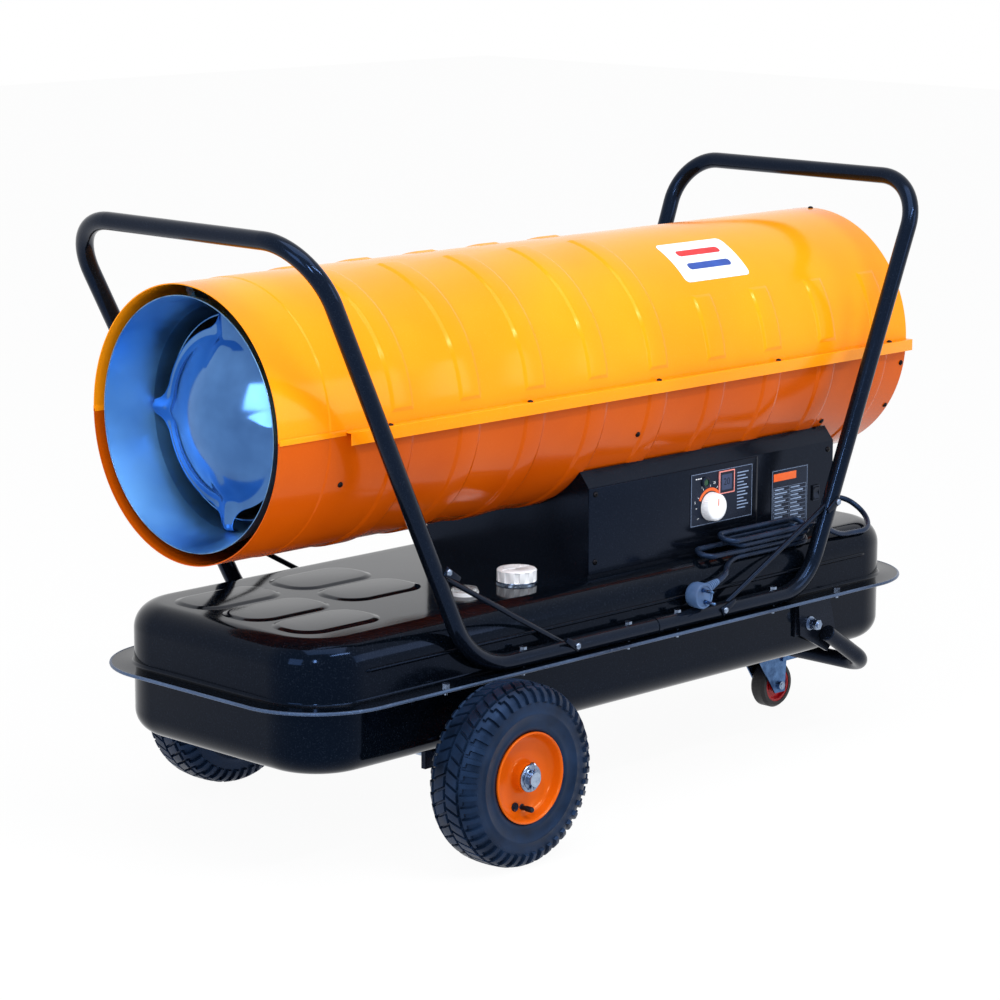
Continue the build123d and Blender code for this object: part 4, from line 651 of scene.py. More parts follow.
def draw_out_arm(dome, out, across):
    """Draw the dome's edge out into one arm that narrows towards the liner, and bend its foot back."""
    def at_root(place):
        spot = place - barrel_axis
        outside = spot.dot(out) > 0 and spot.yz.length > arm_root_radius
        return outside and abs(spot.dot(across)) < arm_half_width

    pick(dome, "EDGE", at_root)
    middle = Vector((deflector_x, 0, barrel_height)) + out * arm_root_radius
    for step, narrowing in arm_steps:
        bpy.ops.mesh.extrude_region_move(TRANSFORM_OT_translate={"value": out * step * mm})
        middle += out * step * mm
        size = [1 - (1 - narrowing) * abs(part) for part in across]
        bpy.ops.transform.resize(value=size, center_override=middle)
    level = [1 - abs(part) for part in out]
    tip = Vector((deflector_x, 0, barrel_height)) + out * (liner_inner - 2 * mm)
    bpy.ops.transform.resize(value=level, center_override=tip)
    bpy.ops.mesh.extrude_region_move(TRANSFORM_OT_translate={"value": (arm_foot, 0, 0)})
    close_piece()


def crease_arm(dome, out, across):
    """Press a crease that runs from the arm into the dome."""
    for width, start, rise in crease_steps:
        def on_crease(place):
            spot = place - barrel_axis
            near_line = abs(spot.dot(across)) < width * mm and place.x < deflector_x + 3 * mm
            return near_line and spot.dot(out) > start * mm

        pick(dome, "VERT", on_crease)
        bpy.ops.transform.translate(value=(-rise * mm, 0, 0))
        close_piece()


def make_deflector():
    dome = turned("flame_dome", dome_outline(), barrel_axis, "X", steps=96)
    for quarter in range(4):
        angle = quarter * quarter_turn
        out = Vector((0, -round(math.cos(angle)), round(math.sin(angle))))
        across = Vector((0, out.z, -out.y))
        draw_out_arm(dome, out, across)
        crease_arm(dome, out, across)
    point_outwards(dome)
    thicken(dome, dome_sheet)
    subdivide(dome)
    smooth(dome, 60)
    dress(dome, dome_steel, "heater", "deflector_metal", "flame_deflector")


def make_outlet_trim():
    """Rolled lips of the liner's cone and of the chamber behind the dome."""
    lips = []
    for lip_outline in (ring_outline(-657, 175.4, 0.9), ring_outline(-566, 142.4, 1.4)):
        lips.append(turned("lip", lip_outline, barrel_axis, "X", steps=96, closed=True))
    lip = joined("rolled_lips", lips)
    smooth(lip, 60)
    dress(lip, bright_edge, "heater", "liner_metal")


# Wheels
wheel_centre = Vector((-338 * mm, -301 * mm, 130 * mm))
tread_blocks = 44
steps_per_block = 6
block_low_radius = 104 * mm
middle_band = (1.5 * mm, 21.5 * mm)
shoulder_band = (23.6 * mm, 30 * mm)
groove_share = 0.17
lug_end_share = 0.67
block_slope = 0.9 * mm
block_height = 4.3 * mm
# Widths past which the tread is turned on by one more slant, which sweeps its blocks back
slant_widths = (1.2, 7, 14, 20, 22.5)
slant = math.radians(1.5)
half_tread = (
    (1.4, 125.6), (8, 125.5), (15, 125), (21.4, 124.3), (23.6, 123.6), (29, 121.2),
    (34, 117), (37.4, 111.5), (39.2, 106), (40, 99), (39.8, 93), (40.7, 91.6),
    (40.7, 89.6), (39.6, 88), (38.6, 81), (37.4, 75.5), (37.9, 74), (37.4, 70.5), (36, 66.2),
    (34, 64.6), (32, 63.8),
)


def wheel_spot(place):
    """Distance from the tyre's middle plane, and the share of a block round the tread."""
    spot = place - wheel_centre
    share = math.atan2(spot.z, spot.x) / full_turn * tread_blocks
    return abs(spot.y), spot.y, share % 1


def on_block(place, normal):
    width, side, share = wheel_spot(place)
    if math.hypot(place.x - wheel_centre.x, place.z - wheel_centre.z) < block_low_radius:
        return False
    if side > 0:
        share = (share + 0.5) % 1
    for start, end in (middle_band, shoulder_band):
        if start < width < end:
            return share > groove_share
    return width > shoulder_band[1] and groove_share < share < lug_end_share


def far_copy(piece, name):
    """Copy a near wheel's piece, turned round to the far wheel."""
    return copy_of(piece, turn_about((wheel_centre.x, 0, 0), "Z", half_turn), name)


def make_tyres():
    outline = sized([(-a, r) for a, r in reversed(half_tread)]) + sized(half_tread)
    steps = tread_blocks * steps_per_block
    tyre = turned("tyre_near_treaded", outline, wheel_centre, "Y", steps=steps, closed=True)
    pick(tyre, "FACE", on_block)
    bpy.ops.mesh.inset(thickness=block_slope, depth=block_height, use_boundary=False)
    close_piece()
    for width in slant_widths:
        pick(tyre, "VERT", lambda place: wheel_spot(place)[0] > width * mm)
        bpy.ops.transform.rotate(value=slant, orient_axis="Y", center_override=wheel_centre)
        close_piece()
    smooth(tyre, 38)
    far = far_copy(tyre, "tyre_far_treaded")
    dress(tyre, tyre_rubber, "wheel_near", "tyre_rubber", "tyre_near")
    dress(far, tyre_rubber, "wheel_far", "tyre_rubber", "tyre_far")


rim_outline = (
    (34, 63), (35.4, 64.4), (37.4, 65), (39, 64.2), (39.4, 62.8), (38.2, 61.4), (35, 60.4),
    (29, 59.4), (24, 57.4), (20.2, 53), (18.4, 46), (17.8, 36), (17.9, 26), (19.4, 22), (23, 20.4),
    (36, 20), (36, 10.2), (-36, 10.2), (-36, 20), (11, 20), (15, 23.5), (15.4, 34), (15.9, 46),
    (15.4, 53), (12, 58.2), (6, 60.2), (-30, 60.6), (-36, 61.6), (-38.6, 62.6), (-39.4, 63.6),
    (-37.4, 65), (-35.4, 64.4), (-34, 63),
)
valve_place = wheel_centre + Vector((3 * mm, 0, -46 * mm))
valve_outline = (
    (-15, 0), (-15, 5), (-18.4, 5), (-19.4, 3.6), (-27, 3.1), (-27.4, 4.2), (-38, 4), (-39.4, 3),
    (-39.6, 0),
)
# Black disc in the rim beside the valve: painted shade for a dark hole, not a real part
hole_shade_offset = Vector((-14 * mm, 0, 3 * mm))
hole_shade_outline = ((-17.4, 0), (-17.4, 6.6), (-19.4, 6.6), (-20.2, 5.6), (-19, 4.2), (-18.8, 0))


def make_rims():
    outline = sized([(-a, r) for a, r in rim_outline])
    rim = turned("rim_near_pressed", outline, wheel_centre, "Y", steps=96, closed=True)
    smooth(rim, 50)
    far = far_copy(rim, "rim_far_pressed")
    dress(rim, wheel_paint, "wheel_near", "rim_paint", "rim_near")
    dress(far, wheel_paint, "wheel_far", "rim_paint", "rim_far")
    make_valves()


def make_valves():
    """Rubber valve stem with its cap, and beside it a black disc as painted shade, standing for a dark
    hole in the rim.
    """
    valve = turned("valve", sized(valve_outline), valve_place, "Y", steps=24)
    hole = turned("hole", sized(hole_shade_outline), valve_place + hole_shade_offset, "Y", steps=24)
    valve = joined("valve_near", [valve, hole])
    smooth(valve, 40)
    far = far_copy(valve, "valve_far")
    dress(valve, black_plastic, "wheel_near", "tyre_rubber")
    dress(far, black_plastic, "wheel_far", "tyre_rubber")


washer_outlines = (
    (
        (-337.5, 10.1), (-337.5, 19), (-338, 19.6), (-339.6, 19.6), (-340.2, 19), (-340.2, 13.4),
        (-341, 14.2), (-341.4, 13.8), (-341.4, 10.1),
    ),
    ((-262, 10.1), (-262, 18.6), (-264, 18.6), (-264.5, 18), (-264.5, 10.1)),
)
pin_y = -343.4 * mm
pin_eye_rise = 17 * mm
pin_leg_outline = ((-16, 0), (-16, 1.6), (12, 1.6))
pin_leg_leans = (-0.22, 0.16)


def make_axle_ends():
    """Washers on each side of the hub and the split pin outside them, in the axle's domed end."""
    axle_place = Vector((wheel_centre.x, 0, wheel_centre.z))
    stack = []
    for outline in washer_outlines:
        stack.append(turned("washer", sized(outline), axle_place, "Y", steps=48, closed=True))
    eye_place = axle_place + Vector((0, pin_y, pin_eye_rise))
    stack.append(turned("eye", ring_outline(0, 5.2, 1.6), eye_place, "X", steps=24, closed=True))
    for lean in pin_leg_leans:
        leg = turned("leg", sized(pin_leg_outline), (0, 0, 0), "Z", steps=12)
        placing = facing(axle_place + Vector((0, pin_y, 0)), (lean, 0, 1))
        stack.append(copy_of(leg, placing))
        bpy.data.objects.remove(leg)
    ends = joined("axle_end_near", stack)
    smooth(ends, 40)
    far = far_copy(ends, "axle_end_far")
    for piece in (ends, far):
        dress(piece, bolt_steel, "heater", "axle_steel", "axle_hardware")


# Tank
tank_top = 338 * mm
tank_bottom = 150 * mm
flange_height = 250 * mm
flange_length = 1332 * mm
flange_width = 500 * mm
flange_corner = 128 * mm
flange_reach = 33 * mm
flange_middle = (4 * mm, 0, flange_height)
tank_sheet = 2 * mm
wall_fold = 5 * mm
top_edge_radius = 38 * mm
bottom_edge_radius = 34 * mm
side_bead_outline = ((-534, 0), (-530, 2.2), (-522, 3), (530, 3), (538, 2.2), (542, 0))
side_bead_height = 294 * mm
pad_spots = ((-500, 103), (-500, 0), (-500, -103), (-322, 103), (-322, 0))
pad_length = 164 * mm
pad_width = 102 * mm
pad_corner = 44 * mm
pad_rise = 2.8 * mm
pad_sink = 0.2 * mm
pad_rings = 8
pad_ring_pitch = 1.6 * mm
flange_bead_radius = 2.5 * mm


def rounded_plane(name, length, width, corner, place, segments=20):
    """Flat rounded rectangle, as a start for a pressed sheet."""
    bpy.ops.object.select_all(action="DESELECT")
    bpy.ops.mesh.primitive_plane_add(size=1, location=place)
    piece = bpy.context.object
    piece.name = name
    piece.scale = (length, width, 1)
    settle(piece)
    open_piece(piece)
    bpy.ops.mesh.bevel(offset=corner, segments=segments, affect="VERTICES")
    close_piece()
    return piece


def tank_half(name, way, end, edge_radius):
    """Pressed half of the tank: a flat flange, a wall and a flat end with a rounded edge."""
    face = flange_height + way * tank_sheet
    half = rounded_plane(name, flange_length, flange_width, flange_corner, flange_middle)
    open_piece(half, "FACE")
    bpy.ops.transform.translate(value=(0, 0, way * tank_sheet))
    bpy.ops.mesh.inset(thickness=flange_reach)
    bpy.ops.mesh.extrude_region_move(TRANSFORM_OT_translate={"value": (0, 0, end - face)})
    close_piece()
    pick(half, "EDGE", lambda place: abs(place.z - end) < 0.1 * mm)
    bpy.ops.mesh.bevel(offset=edge_radius, segments=12, affect="EDGES")
    close_piece()
    pick(half, "EDGE", lambda place: abs(place.z - face) < 0.1 * mm and on_body_outline(place))
    bpy.ops.mesh.bevel(offset=wall_fold, segments=4, affect="EDGES")
    bpy.ops.mesh.select_all(action="SELECT")
    bpy.ops.mesh.normals_make_consistent(inside=False)
    close_piece()
    end_face = max(half.data.polygons, key=lambda panel: way * panel.center.z + panel.area)
    if end_face.normal.z * way < 0:
        open_piece(half)
        bpy.ops.mesh.flip_normals()
        close_piece()
    thicken(half, tank_sheet - 0.1 * mm)
    smooth(half, 50)
    return half


def on_body_outline(place):
    """Whether a place on the flange's plane lies where the tank's wall meets it."""
    half_x, half_y = flange_length / 2 - flange_reach, flange_width / 2 - flange_reach
    corner = flange_corner - flange_reach
    x, y = abs(place.x - flange_middle[0]), abs(place.y)
    over_x, over_y = x - half_x + corner, y - half_y + corner
    if over_x > 0 and over_y > 0:
        return abs(math.hypot(over_x, over_y) - corner) < mm
    return abs(x - half_x) < mm or abs(y - half_y) < mm


def make_tank():
    upper = tank_half("tank_upper_pan", 1, tank_top, top_edge_radius)
    lower = tank_half("tank_lower_pan", -1, tank_bottom, bottom_edge_radius)
    dress(upper, tank_paint, "heater", "tank_paint", "tank_upper")
    dress(lower, tank_paint, "heater", "tank_paint", "tank_lower")
    beads = []
    for side in (-1, 1):
        wall = (0, side * (flange_width / 2 - flange_reach), side_bead_height)
        beads.append(turned("bead", sized(side_bead_outline), wall, "X", steps=16))
    beads = joined("side_beads", beads)
    smooth(beads, 60)
    dress(beads, tank_paint, "heater", "tank_paint")


def pad_height(share):
    """Soft rise of a pressed pad from its edge, at share 0, to its flat top, at share 1."""
    return pad_rise * (3 * share * share - 2 * share ** 3) - pad_sink


def make_pads():
    """Pressed pads on the tank's top, each a plate whose edge rises softly out of the sheet."""
    pad = rounded_plane("pad", pad_length, pad_width, pad_corner, (0, 0, tank_top), 12)
    open_piece(pad, "FACE")
    bpy.ops.transform.translate(value=(0, 0, pad_height(0)))
    for ring in range(pad_rings):
        step = pad_height((ring + 1) / pad_rings) - pad_height(ring / pad_rings)
        bpy.ops.mesh.inset(thickness=pad_ring_pitch, depth=step)
    close_piece()
    smooth(pad, 60)
    pads = [copy_of(pad, Matrix.Translation((x, y, 0))) for x, y in sized(pad_spots)]
    bpy.data.objects.remove(pad)
    dress(joined("tank_pads", pads), tank_paint, "heater", "tank_paint")


def make_flange_bead():
    """Rolled edge round the tank's flange, bright where its paint has rubbed off."""
    bead = rounded_plane("flange_bead", flange_length, flange_width, flange_corner, flange_middle)
    open_piece(bead)
    bpy.ops.mesh.delete(type="ONLY_FACE")
    close_piece()
    select_only(bead)
    bpy.ops.object.convert(target="CURVE")
    bead.data.bevel_depth = flange_bead_radius
    bead.data.bevel_resolution = 3
    bpy.ops.object.convert(target="MESH")
    smooth(bead, 60)
    dress(bead, rubbed_paint, "heater", "tank_paint")


# Fuel cap
cap_place = Vector((-137 * mm, -115 * mm, 0))
cap_outline = (
    (342, 24.2), (342, 29.4), (357.5, 29.2), (359.4, 27.6), (360.2, 24.5), (360.4, 18), (359.6, 16.6),
    (359.6, 0),
)
cap_grips = 12
cap_grip_top = 358 * mm
cap_grip_radius = 28 * mm
cap_grip_slope = 0.6 * mm
cap_grip_depth = 1.6 * mm
cap_face = 359 * mm
cap_slot_depth = 0.9 * mm
cap_bar_half = 4 * mm


def make_cap():
    cap = turned("ribbed_cap", sized(cap_outline), cap_place, "Z", steps=96)

    def on_grip(place, normal):
        spot = place - cap_place
        share = math.atan2(spot.y, spot.x) / full_turn * cap_grips % 1
        on_side = place.z < cap_grip_top and spot.xy.length > cap_grip_radius
        return on_side and 0.3 < share < 0.7

    def on_slot(place, normal):
        return normal.z > 0.9 and place.z > cap_face and abs(place.y - cap_place.y) < cap_bar_half

    pick(cap, "FACE", on_grip)
    bpy.ops.mesh.inset(thickness=cap_grip_slope, depth=-cap_grip_depth)
    close_piece()
    pick(cap, "FACE", on_slot)
    bpy.ops.mesh.extrude_region_move(TRANSFORM_OT_translate={"value": (0, 0, -cap_slot_depth)})
    close_piece()
    soften(cap, 0.5 * mm, 2)
    smooth(cap, 40)
    dress(cap, white_plastic, "cap", "cap_plastic", "fuel_cap")


# Control panel
cover_low, cover_high = (-43 * mm, 342 * mm), (330 * mm, 470 * mm)
cover_roll = (6 * mm, 0.9 * mm, 0)
plate_thickness = 0.8 * mm
label_face = cover_face - plate_thickness
label_low, label_high = (179 * mm, 380 * mm), (322 * mm, 462 * mm)
rating_face = box_face - plate_thickness
rating_low, rating_high = (369 * mm, 350 * mm), (457 * mm, 443 * mm)
print_depth = 0.15 * mm
border_width = 0.5 * mm
border_depth = 0.12 * mm
label_border = (180.5 * mm, 381.5 * mm), (320.5 * mm, 460.5 * mm)
rating_border = (371 * mm, 352 * mm), (455 * mm, 441 * mm)
rule_width = 0.4 * mm
row_pitch = 6.2 * mm
rule_low = 358 * mm
entry_low = 361 * mm
entry_height = 2.2 * mm
entry_reaches = (26, 19, 30, 22, 16)
entry_starts = (377 * mm, 415 * mm)
note_start, note_top, note_pitch = 286 * mm, 451 * mm, 5 * mm
note_height = 1.7 * mm
note_reaches = (26, 19, 24, 15, 22)
dial_radius = 31.5 * mm
figure_radius = 36 * mm
knob_place = Vector((224 * mm, 0, 408 * mm))
knob_outline = (
    (0, 0), (0, 21.6), (-2, 22), (-14, 20.6), (-16, 19), (-17, 16), (-16.4, 12), (-16, 0),
)
knob_flutes = 36
flute_radius = 20.5 * mm
flute_slope = 0.2 * mm
flute_depth = 0.7 * mm
knob_line_face = 16.2 * mm
knob_line_rise = 9 * mm
knob_line_size = (1.6 * mm, 12 * mm)
display_low, display_high = (242.5 * mm, 423.5 * mm), (277.5 * mm, 458.5 * mm)
display_middle = (260 * mm, 441 * mm)
lamp_middle = (212 * mm, 446 * mm)
bezel_outline = ((-3, 5.4), (-3.4, 6.4), (-2, 8.6), (0, 8.8), (0, 5.4))


def make_cover():
    """Side cover of the control box, with its rear edge rolled round."""
    low = (cover_low[0], cover_face, cover_low[1])
    cover = start_block("side_cover_sheet", low, (cover_high[0], box_face, cover_high[1]))
    pick(cover, "FACE", lambda place, normal: normal.x > 0.9)
    bpy.ops.mesh.extrude_region_move(TRANSFORM_OT_translate={"value": cover_roll})
    close_piece()
    soften(cover, 0.7 * mm, 3)
    smooth(cover, 40)
    dress(cover, box_paint, "heater", "box_paint", "side_cover")


def frame_line(name, low, high, width, face, depth):
    """Thin printed frame round a rectangle on the control side."""
    middle_x, middle_z = (low[0] + high[0]) / 2, (low[1] + high[1]) / 2
    bpy.ops.object.select_all(action="DESELECT")
    middle = (middle_x, face, middle_z)
    bpy.ops.mesh.primitive_plane_add(size=1, location=middle, rotation=(quarter_turn, 0, 0))
    frame_piece = bpy.context.object
    frame_piece.name = name
    frame_piece.scale = (high[0] - low[0], high[1] - low[1], 1)
    settle(frame_piece)
    open_piece(frame_piece, "FACE")
    bpy.ops.mesh.inset(thickness=width)
    bpy.ops.mesh.delete(type="FACE")
    bpy.ops.mesh.select_all(action="SELECT")
    bpy.ops.mesh.extrude_region_move(TRANSFORM_OT_translate={"value": (0, -depth, 0)})
    bpy.ops.mesh.select_all(action="SELECT")
    bpy.ops.mesh.normals_make_consistent(inside=False)
    close_piece()
    return frame_piece


def mark(name, x, z, width, height, face, depth=print_depth, lean=0):
    """Printed bar on the control side, rounded at its corners and turned to lean with a dial."""
    low = (x - width / 2, face - depth, z - height / 2)
    bar = start_block(name, low, (x + width / 2, face, z + height / 2))
    soften(bar, 0.05 * mm, 1)
    if lean:
        bar = set_down(bar, turn_about((x, 0, z), "Y", lean))
    return bar


def set_down(piece, placing):
    """Move a finished piece by a matrix, with its place left in its mesh."""
    piece.matrix_world = placing
    bpy.context.view_layer.update()
    return settle(piece)


def dial_arc(name, inner, outer, start, angle, face):
    """Printed arc round the knob, from a start angle up from the right, turning back over the top."""
    out = Vector((math.cos(start), 0, math.sin(start)))
    front = face - print_depth
    outline = [(front, inner), (front, outer), (face, outer), (face, inner)]
    return turned(name, outline, knob_place, "Y", steps=36, angle=angle, closed=True, out=out)


def on_dial(angle, radius):
    """Place round the knob, by its angle up from the right."""
    return knob_place.x + math.cos(angle) * radius, knob_place.z + math.sin(angle) * radius


def plain_plate(name, low, high, back, face):
    plate = start_block(name, (low[0], face, low[1]), (high[0], back, high[1]))
    soften(plate, 0.3 * mm, 2)
    return plate


def grey_print():
    """Borders, the rating table's rules and entries, and the notes beside the knob, all plain bars."""
    bars = [
        frame_line("panel_border", *label_border, border_width, label_face, border_depth),
        frame_line("rating_border", *rating_border, border_width, rating_face, border_depth),
    ]
    for row in range(10):
        height = rule_low + row_pitch * row
        bars.append(mark("rule", 413 * mm, height, 78 * mm, rule_width, rating_face))
    for x in (374, 412, 452):
        bars.append(mark("column", x * mm, 386 * mm, rule_width, 56 * mm, rating_face))
    for row in range(9):
        reach = entry_reaches[row % 5] * mm
        for start in entry_starts:
            height = entry_low + row_pitch * row
            bars.append(mark("entry", start + reach / 2, height, reach, entry_height, rating_face))
    for row in range(12):
        reach, height = note_reaches[row % 5] * mm, note_top - note_pitch * row
        bars.append(mark("note", note_start + reach / 2, height, reach, note_height, label_face))
    return joined("panel_borders", bars)


def white_print():
    """Three short bars over the lamp and the marks of the dial."""
    bars = []
    for column in range(3):
        x = (192 + 5 * column) * mm
        bars.append(mark("head", x, 453 * mm, 3.2 * mm, 1.6 * mm, label_face))
    for tick in range(9):
        angle = math.radians(210 - 30 * tick)
        x, z = on_dial(angle, dial_radius)
        if z > label_border[0][1]:
            bars.append(mark("tick", x, z, 3.2 * mm, 0.8 * mm, label_face, lean=-angle))
    return joined("panel_lines", bars)


def make_panel():
    label = plain_plate("label_sheet", label_low, label_high, cover_face, label_face)
    rating = plain_plate("rating_sheet", rating_low, rating_high, box_face, rating_face)
    dress(joined("label_sheets", [label, rating]), print_black, "heater", "plate_print", "face_plates")
    dress(grey_print(), print_grey, "heater", "plate_print")
    dress(white_print(), print_white, "heater", "plate_print")
    start, sweep = math.radians(25), math.radians(130)
    accents = [
        dial_arc("warm_arc", 23.6 * mm, 28.4 * mm, start, sweep, label_face),
        mark("header", 401 * mm, 430 * mm, 54 * mm, 12 * mm, rating_face),
    ]
    dress(joined("panel_accents", accents), print_orange, "heater", "plate_print")
    start, sweep = math.radians(-38), math.radians(20)
    stop = dial_arc("stop_arc", 23.6 * mm, 28 * mm, start, sweep, label_face)
    dress(stop, print_red, "heater", "plate_print")
    make_dial_numbers()
    make_display()


def words_on_panel(name, text, x, z, size, face):
    """Generic figures as a thin mesh on the control side."""
    bpy.ops.object.select_all(action="DESELECT")
    bpy.ops.object.text_add(location=(0, 0, 0))
    piece = bpy.context.object
    piece.name = name
    piece.data.body = text
    piece.data.size = size
    piece.data.extrude = 0.08 * mm
    piece.data.align_x = "CENTER"
    piece.data.align_y = "CENTER"
    bpy.ops.object.convert(target="MESH")
    piece = bpy.context.object
    piece.matrix_world = Matrix.Translation((x, face, z)) @ Matrix.Rotation(quarter_turn, 4, "X")
    return settle(piece)


def make_dial_numbers():
    figures = []
    for number, text in enumerate(("5", "15", "25", "35")):
        x, z = on_dial(math.radians(165 - 45 * number), figure_radius)
        figures.append(words_on_panel("figure", text, x, z, 5 * mm, label_face))
    dress(joined("dial_figures", figures), print_white, "heater", "plate_print")


def make_display():
    border = frame_line("display_border", display_low, display_high, 1.6 * mm, label_face, 2.4 * mm)
    soften(border, 0.4 * mm, 2)
    dress(border, print_rose, "heater", "insert_plastic")
    face = label_face - 1.6 * mm
    figures = words_on_panel("display_figures", "20", *display_middle, 15 * mm, face)
    dress(figures, print_black, "heater", "window_glass")
    ring_place = (lamp_middle[0], label_face, lamp_middle[1])
    ring = turned("lamp_bezel", sized(bezel_outline), ring_place, "Y", steps=32, closed=True)
    smooth(ring, 50)
    dress(ring, black_plastic, "heater", "insert_plastic")


def make_knob():
    back = Vector((0, label_face - 0.5 * mm, 0))
    knob = turned("fluted_knob", sized(knob_outline), knob_place + back, "Y", steps=108)

    def on_flute(place, normal):
        spot = place - knob_place
        share = math.atan2(spot.z, spot.x) / full_turn * knob_flutes % 1
        return math.hypot(spot.x, spot.z) > flute_radius and 0.34 < share < 0.67

    pick(knob, "FACE", on_flute)
    bpy.ops.mesh.inset(thickness=flute_slope, depth=-flute_depth)
    close_piece()
    smooth(knob, 40)
    dress(knob, white_plastic, "knob", "knob_plastic", "thermostat_knob")
    line_face = back.y - knob_line_face
    line_height = knob_place.z + knob_line_rise
    line = mark("knob_line", knob_place.x, line_height, *knob_line_size, line_face, 0.5 * mm)
    dress(line, print_orange, "knob", "knob_plastic")


# Plug and strain reliefs
plug_centre = Vector((124 * mm, -222 * mm, 297.2 * mm))
plug_lean = math.radians(15)
plug_outline = (
    (0, 0), (0, 11), (-1.5, 15), (-5, 18.2), (-10, 19.4), (-25.5, 19.4), (-27, 18.4), (-27, 15.6),
    (-25.4, 15.2), (-25, 0),
)
plug_pin_outline = (
    (-24, 0), (-24, 3.6), (-29, 3.4), (-29, 2.4), (-44.6, 2.4), (-46, 1.3), (-46, 0),
)
plug_pin_offset = 9.5 * mm
relief_drop = -10.8 * mm
relief_ribs = 7
gland_outline = (
    (512, 0), (512, 8), (518, 8), (518, 11.6), (519, 12), (523, 12), (524, 11), (524, 8.8), (527, 8.4),
    (527.6, 7), (531, 6.9), (531.6, 7.6), (534, 7.3), (534.6, 6.2), (541, 5.2), (541.6, 4.4), (541.6, 0),
)


def relief_outline():
    """Ribbed strain relief that tapers from the plug to the cord."""
    outline = [(10, 0), (10, 9.5)]
    for rib in range(relief_ribs):
        start, radius = 19.5 + 4.2 * rib, 9 - 0.62 * rib
        outline += [(start, radius), (start + 2.4, radius - 0.3)]
        outline += [(start + 2.6, radius - 1.9), (start + 4, radius - 2.1)]
    return outline + [(49.4, 4.4), (49.4, 0)]


def make_plug():
    centre = plug_centre
    body = turned("plug_body", sized(plug_outline), centre, "Y", steps=48)
    relief_place = centre + Vector((0, relief_drop, 0))
    relief = turned("relief", sized(relief_outline()), relief_place, "X", steps=32)
    body = joined("plug_moulding", [body, relief])
    pins = []
    for side in (-1, 1):
        place = centre + Vector((0, 0, side * plug_pin_offset))
        pins.append(turned("pin", sized(plug_pin_outline), place, "Y", steps=24))
    pins = joined("plug_pins", pins)
    lean = turn_about(centre, "Y", -plug_lean)
    body, pins = set_down(body, lean), set_down(pins, lean)
    smooth(body, 40)
    smooth(pins, 40)
    dress(body, plug_rubber, "heater", "plug_rubber", "plug")
    dress(pins, zinc, "heater", "plug_rubber", "plug")
    return body, pins


def make_gland():
    """Cable gland on the box's rear wall with its tapered strain relief."""
    place = (0, cord_start[1], cord_start[2])
    gland = turned("gland_relief", sized(gland_outline), place, "X", steps=32)
    smooth(gland, 40)
    dress(gland, black_plastic, "heater", "gland_plastic", "cord_gland")
    return gland


# Brace ends
bolt_head_outline = ((1, 0), (1, 5.4), (4, 5.2), (5, 3.4), (5, 0))
tab_length = 26 * mm
tab_half_width = 7 * mm
tab_half_thickness = 1.6 * mm
tab_behind = 6 * mm
tab_round = 1.2 * mm
brace_outside = (12.7 + 1.2) * mm
brace_ends = (
    ((-408.7, -235, 416), (-148, -232, 264.7)),
    ((-148, -232, 268), (-408.7, -235, 416)),
    ((430.4, -235.2, 397), (173, -232, 264.7)),
    ((173, -232, 268), (430.4, -235.2, 397)),
)


def brace_end(place, towards):
    """Flattened tab of a brace rod with its bolt."""
    place, towards = Vector(place), Vector(towards)
    way = (towards - place).normalized()
    low = (-tab_behind, -tab_half_width, -tab_half_thickness)
    tab = start_block("tab", low, (tab_length, tab_half_width, tab_half_thickness))
    pick(tab, "FACE", lambda middle, normal: normal.x > 0.9)
    bpy.ops.transform.resize(value=(1, 0.5, 1.6), center_override=(tab_length, 0, 0))
    close_piece()
    soften(tab, tab_round, 3)
    head = turned("head", sized(bolt_head_outline), (0, 0, 0), "Z", steps=6)
    soften(head, 0.4 * mm, 2)
    side = Vector((0, -1, 0))
    across = side.cross(way).normalized()
    side = way.cross(across)
    turn = Matrix((way, across, side)).transposed().to_4x4()
    placing = Matrix.Translation(place) @ turn
    return set_down(tab, placing), set_down(head, placing)


def make_brace_ends():
    tabs, heads = [], []
    for place, towards in brace_ends:
        place = Vector(place) * mm - Vector((0, brace_outside, 0))
        towards = Vector(towards) * mm - Vector((0, brace_outside, 0))
        tab, head = brace_end(place, towards)
        tabs += [tab, mirrored(copy_of(tab))]
        heads += [head, mirrored(copy_of(head))]
    tabs, heads = joined("brace_tabs", tabs), joined("brace_bolts", heads)
    smooth(tabs, 40)
    smooth(heads, 40)
    dress(tabs, tube_paint, "heater", "handle_paint")
    dress(heads, bolt_steel, "heater", "frame_bolt_metal")


# Closed ends of the caster frame's tube
tube_end_outline = (
    (-1.8, 0), (-1.6, 8), (-0.9, 12), (0, 12.7), (1.5, 13), (1.5, 11), (6, 11), (6, 0),
)
tube_start = Vector((426.2, -238, 189.2)) * mm
tube_corner = Vector((535, -238, 118)) * mm


def make_tube_ends():
    near = turned("tube_end", sized(tube_end_outline), (0, 0, 0), "Z", steps=40)
    near = set_down(near, facing(tube_start, tube_corner - tube_start))
    ends = joined("caster_tube_ends", [near, mirrored(copy_of(near))])
    smooth(ends, 40)
    dress(ends, bracket_paint, "heater", "bracket_paint")


# Plain label on the barrel
label_strips = 16
label_middle_x = 266 * mm
label_size = (146 * mm, 84 * mm, 9 * mm)
label_band_size = (96 * mm, 13 * mm, 6 * mm)
label_lift = 0.3 * mm
label_band_lift = 0.5 * mm


